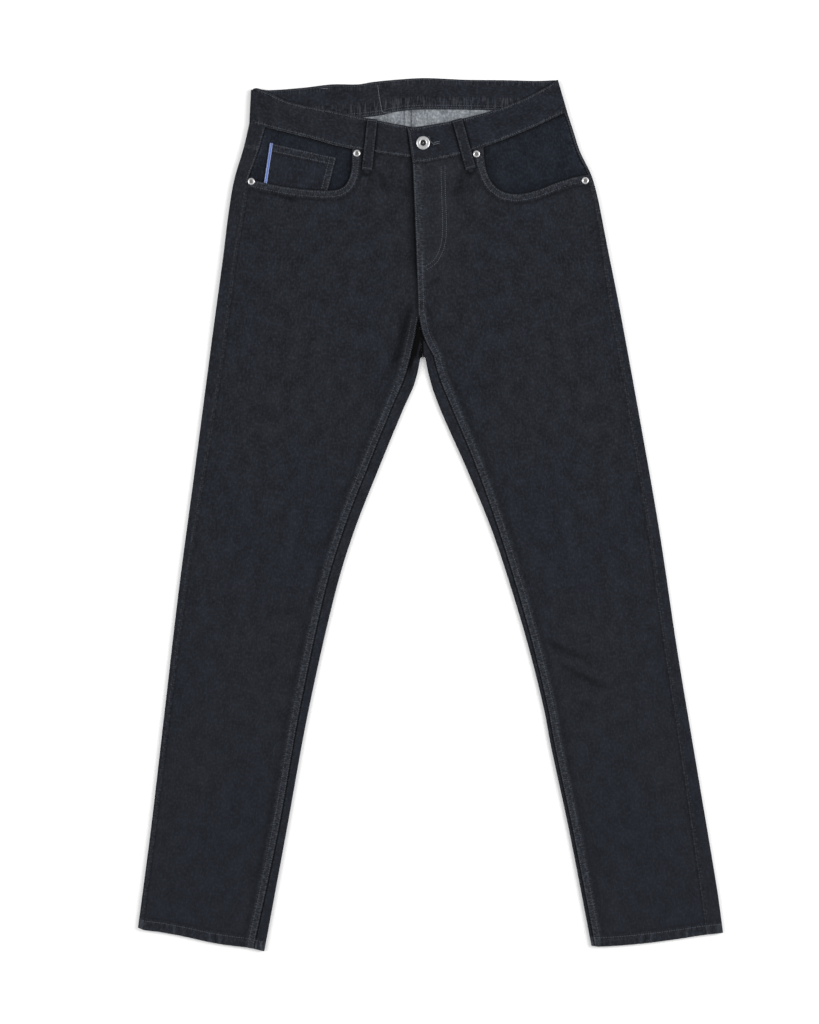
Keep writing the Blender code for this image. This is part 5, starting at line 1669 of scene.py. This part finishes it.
def sew_front():
    """Fly, rise, pocket mouths, side seams and waistband stitching."""
    left = partial(front_z, "left")
    centre = LINES["centre"]
    rows = [(line, left) for line in fly_rows()]
    rows += [(centre.shifted(1.6).trimmed(3.0, -1.5), left),
             (centre.shifted(7.0).trimmed(118.0, -1.0), left)]
    sew("fly_stitches", rows, THREAD, 2.7, 0.95)
    for side in SIDES:
        sign = side_sign(side)
        top = partial(front_z, side)
        mouth = LINES[f"{side}_mouth"]
        near, far = [mouth.shifted(sign * away) for away in MOUTH_ROWS]
        rows = [(near.trimmed(5.0, -4.0), top), (far.trimmed(4.0, -6.0), top)]
        sew(f"{side}_mouth_stitches", rows, THREAD)
        outseam = LINES[f"{side}_outseam"].shifted(sign * 1.6).trimmed(4.0, 78.0)
        sew(f"{side}_side_stitches", [(outseam, partial(strip_z, side))], THREAD)
        rows = []
        s = np.linspace(0.03, 0.985 if side == "left" else 0.87, 80)
        for v in (0.055, 0.945):
            rows += paths(level(side, v), band_point(side, s, np.full(80, v)))
        if side == "left":
            v = np.linspace(0.06, 0.94, 14)
            rows += paths(level(side, 0.5), band_point(side, np.full(14, 0.988), v))
        sew(f"{side}_band_stitches", rows, THREAD)


def sew_back_band():
    """Rows on the inner side of the back waistband, its join and frayed ends."""
    inner = steady(SEAT_LIFT + BAND_CLOTH + 0.05)
    s = np.linspace(0.02, 0.98, 120)
    rows = paths(inner, *[band_point("back", s, np.full(120, v)) for v in (0.05, 0.13, 0.945)])
    sew("back_band_stitches", rows, THREAD)
    fray = paths(inner, [(-68.6, 557.4), (-66.8, 543.0), (-63.0, 522.9)],
                 [(-63.0, 523.2), (-57.0, 521.2), (-51.4, 522.0)],
                 [(-142.0, 553.5), (-133.0, 552.8)])
    sew("band_join_threads", fray, THREAD_PALE, 1.8, 0.9)


def sew_coin_pocket():
    """Rows along the coin pocket's hem and its far side."""
    a, b, c, d = [np.array(corner) for corner in COIN_POCKET]
    along = unit(b - a)
    down = unit(d - a)
    side = unit(c - b)
    hem = [np.linspace(a + down * drop + along * 4.0, b + down * drop - along * 1.0, 20)
           for drop in (1.6, 9.2)]
    lap = [np.linspace(b - along * inset + side, b - along * inset + side * 44.0, 12)
           for inset in (1.4, 8.0)]
    sew("coin_pocket_stitches", paths(coin_z, *hem, *lap), THREAD)


def sew_bars():
    """Short dense rows that hold the belt loops, the fly's foot and the buttonhole."""
    rows = []
    for side in SIDES:
        path = front_loop_path(side)
        line = Line([(x, y) for x, y, z in path])
        for place, z in ((2.4, path[0][2]), (line.length - 2.4, path[-1][2])):
            spot = line.at(np.array([place]))[0]
            way = line.ways(np.array([place]))[0]
            reach = np.array([-way[1], way[0]]) * (LOOP_WIDTH / 2.0 - 0.8)
            rows.append((Line([spot - reach, spot + reach]), steady(z + STRAP + 0.15)))
    rows += paths(partial(front_z, "left"), [(-14.5, 323.0), (-5.0, 321.0)])
    sew("bar_stitches", rows, THREAD, 1.1, 1.1)
    hole = paths(level("left", 0.5), [(-2.7, 490.8), (0.1, 484.3), (3.0, 480.9)],
                 [(3.0, 481.2), (7.4, 483.2), (11.7, 483.9)],
                 [(3.0, 479.4), (7.4, 480.6), (11.4, 481.4)])
    sew("buttonhole_threads", hole, THREAD_PALE, 1.3, 0.95)


def rest(x, y):
    """Height of the underside at points seen from above."""
    return seat_lift(y)


def sew_underneath():
    """Plain double rows on the back pockets, along the yokes and down the centre back."""
    rows = []
    for side in SIDES:
        for inset in PLAIN_ROWS:
            rows.append((Line(pocket_outline(side, inset)), steady(0.05)))
        data = cut(side, np.array(YOKE_PLACE))
        way = unit(data["back"] - data["outer"])
        for drop in PLAIN_ROWS:
            lower = np.array([0.0, drop])
            start = data["outer"] + way * 6.0 - lower
            rows.append((Line(np.linspace(start, data["back"] - lower, 30)), rest))
    ys = np.linspace(512.0, 232.0, 60)
    centre = Line(np.stack([centre_x(ys), ys], -1))
    rows += [(centre.shifted(1.9), rest), (centre.shifted(8.0), rest)]
    sew("underside_stitches", rows, THREAD, under=True)


# Metal


def turned(name, profile, spot, z, steps, dark):
    """A round metal mesh turned from its profile, with painted shade between two radii."""
    bm = bmesh.new()
    verts = [bm.verts.new((radius * MM, 0.0, height * MM)) for radius, height in profile]
    edges = [bm.edges.new(pair) for pair in zip(verts, verts[1:])]
    bmesh.ops.spin(bm, geom=verts + edges, cent=(0, 0, 0), axis=(0, 0, 1),
                   angle=2.0 * math.pi, steps=steps, use_merge=True, use_duplicate=False)
    bmesh.ops.remove_doubles(bm, verts=bm.verts, dist=1e-6)
    bmesh.ops.recalc_face_normals(bm, faces=bm.faces)
    for face in bm.faces:
        centre = face.calc_center_median()
        radius = math.hypot(centre.x, centre.y) / MM
        # Faces facing up in the hollow take the painted shade material.
        hole = dark[0] < radius < dark[1] and face.normal.z > 0.05
        face.material_index = 1 if hole else 0
    bmesh.ops.translate(bm, vec=(spot.x * MM, spot.y * MM, z * MM), verts=bm.verts)
    mesh = bpy.data.meshes.new(name)
    bm.to_mesh(mesh)
    bm.free()
    mesh.shade_smooth()
    mesh.set_sharp_from_angle(angle=math.radians(50.0))
    return mesh


BUTTON_PROFILE = [(0.0, 0.0), (4.2, 0.0), (4.2, 1.2), (7.4, 1.35), (8.4, 1.6), (8.9, 2.2),
                  (9.0, 2.8), (8.8, 3.4), (8.3, 3.9), (7.6, 4.15), (6.9, 4.2), (6.2, 4.15),
                  (5.4, 4.2), (4.8, 4.2), (4.2, 4.0), (3.7, 3.5), (3.4, 2.9), (3.2, 2.3),
                  (2.4, 2.05), (1.3, 2.1), (0.9, 2.6), (0.7, 3.05), (0.4, 3.3), (0.0, 3.35)]
RIVET_PROFILE = [(0.0, 0.0), (4.6, 0.0), (4.72, 0.35), (4.6, 0.75), (4.2, 1.15), (3.6, 1.4),
                 (3.0, 1.45), (2.5, 1.3), (2.1, 0.95), (1.8, 0.75), (1.2, 0.7), (0.9, 0.85),
                 (0.6, 1.15), (0.3, 1.3), (0.0, 1.32)]


def make_metal():
    """Waist button with a plain ring, and the pocket rivets."""
    mesh = turned("waist_button", BUTTON_PROFILE, BUTTON, BAND_TOP + SEAM_GAP, 72, (0.85, 3.6))
    add_piece("waist_button", mesh, [NICKEL, BUTTON_HOLLOW_SHADE], "button")
    for name, spot in RIVETS.items():
        reach = np.array([-4.7, 0.0, 4.7])
        rest = float(np.max(top_z(spot.x + reach, spot.y + 0.0 * reach)))
        mesh = turned(f"{name}_head", RIVET_PROFILE, spot, rest + SEAM_GAP, 40, (0.0, 2.55))
        add_piece(f"{name}_head", mesh, [NICKEL, RIVET_HOLLOW_SHADE], name)


# Floor, camera and light


def make_floor():
    """Plain white surface under the jeans."""
    bm = bmesh.new()
    bmesh.ops.create_grid(bm, x_segments=1, y_segments=1, size=4.0)
    bmesh.ops.translate(bm, vec=(0.0, 0.0, -0.4 * MM), verts=bm.verts)
    mesh = bpy.data.meshes.new("floor")
    bm.to_mesh(mesh)
    bm.free()
    floor = bpy.data.objects.new("floor", mesh)
    bpy.context.scene.collection.objects.link(floor)
    shade = Shading("floor")
    tint = shade.noise(shade.place(), 0.3, 0.7, 2.0, 3.0)
    shade.set(Base_Color=shade.blend(tint, (0.82, 0.82, 0.82, 1.0), (0.84, 0.84, 0.84, 1.0)),
              Roughness=0.9, Specular_IOR_Level=0.1)
    mesh.materials.append(shade.material)


# The photograph in pixels, the middle of the outline in it, and millimetres a pixel
PHOTO_MIDDLE = (409.5, 512.0)
PHOTO_HEIGHT = 1024
OUTLINE_MIDDLE = (430.5, 514.5)
PIXEL = 1.3
CAMERA_HEIGHT = 3.4
SENSOR_HEIGHT = 24.0


def make_camera():
    """Camera straight above, framed as in the photograph."""
    camera = bpy.data.objects.new("camera", bpy.data.cameras.new("camera"))
    bpy.context.scene.collection.objects.link(camera)
    camera.data.sensor_fit = "VERTICAL"
    camera.data.sensor_height = SENSOR_HEIGHT
    camera.data.lens = SENSOR_HEIGHT * CAMERA_HEIGHT / (PHOTO_HEIGHT * PIXEL * MM)
    camera.location = ((PHOTO_MIDDLE[0] - OUTLINE_MIDDLE[0]) * PIXEL * MM,
                       (OUTLINE_MIDDLE[1] - PHOTO_MIDDLE[1]) * PIXEL * MM, CAMERA_HEIGHT)
    camera.data.clip_end = 20.0
    bpy.context.scene.camera = camera


def softbox(name, place, power):
    """A rectangular softbox aimed at the jeans."""
    data = bpy.data.lights.new(name, "AREA")
    data.shape = "RECTANGLE"
    data.size, data.size_y = (1.6, 2.4)
    data.energy = power
    light = bpy.data.objects.new(name, data)
    bpy.context.scene.collection.objects.link(light)
    light.location = place
    light.rotation_euler = (-Vector(place)).to_track_quat("-Z", "Y").to_euler()


def make_light():
    """Two side softboxes and an even white surround."""
    softbox("key", (2.6, 0.5, 2.3), 110.0)
    softbox("fill", (-2.6, 0.3, 2.3), 70.0)
    world = bpy.data.worlds.new("studio")
    bpy.context.scene.world = world
    world.use_nodes = True
    background = world.node_tree.nodes["Background"]
    background.inputs["Color"].default_value = (1.0, 1.0, 1.0, 1.0)
    background.inputs["Strength"].default_value = 0.62
    bpy.context.scene.view_settings.view_transform = "Standard"


def main():
    """Make the jeans from the cloth up, then the floor and the light."""
    make_camera()
    for side in SIDES:
        make_back(side)
        make_yoke(side)
        make_front(side)
        make_facing(side)
        make_back_pocket(side)
        sew_leg(side)
    make_coin_pocket()
    make_waistband()
    make_loops()
    sew_front()
    sew_back_band()
    sew_coin_pocket()
    sew_bars()
    sew_underneath()
    make_metal()
    make_floor()
    make_light()


main()
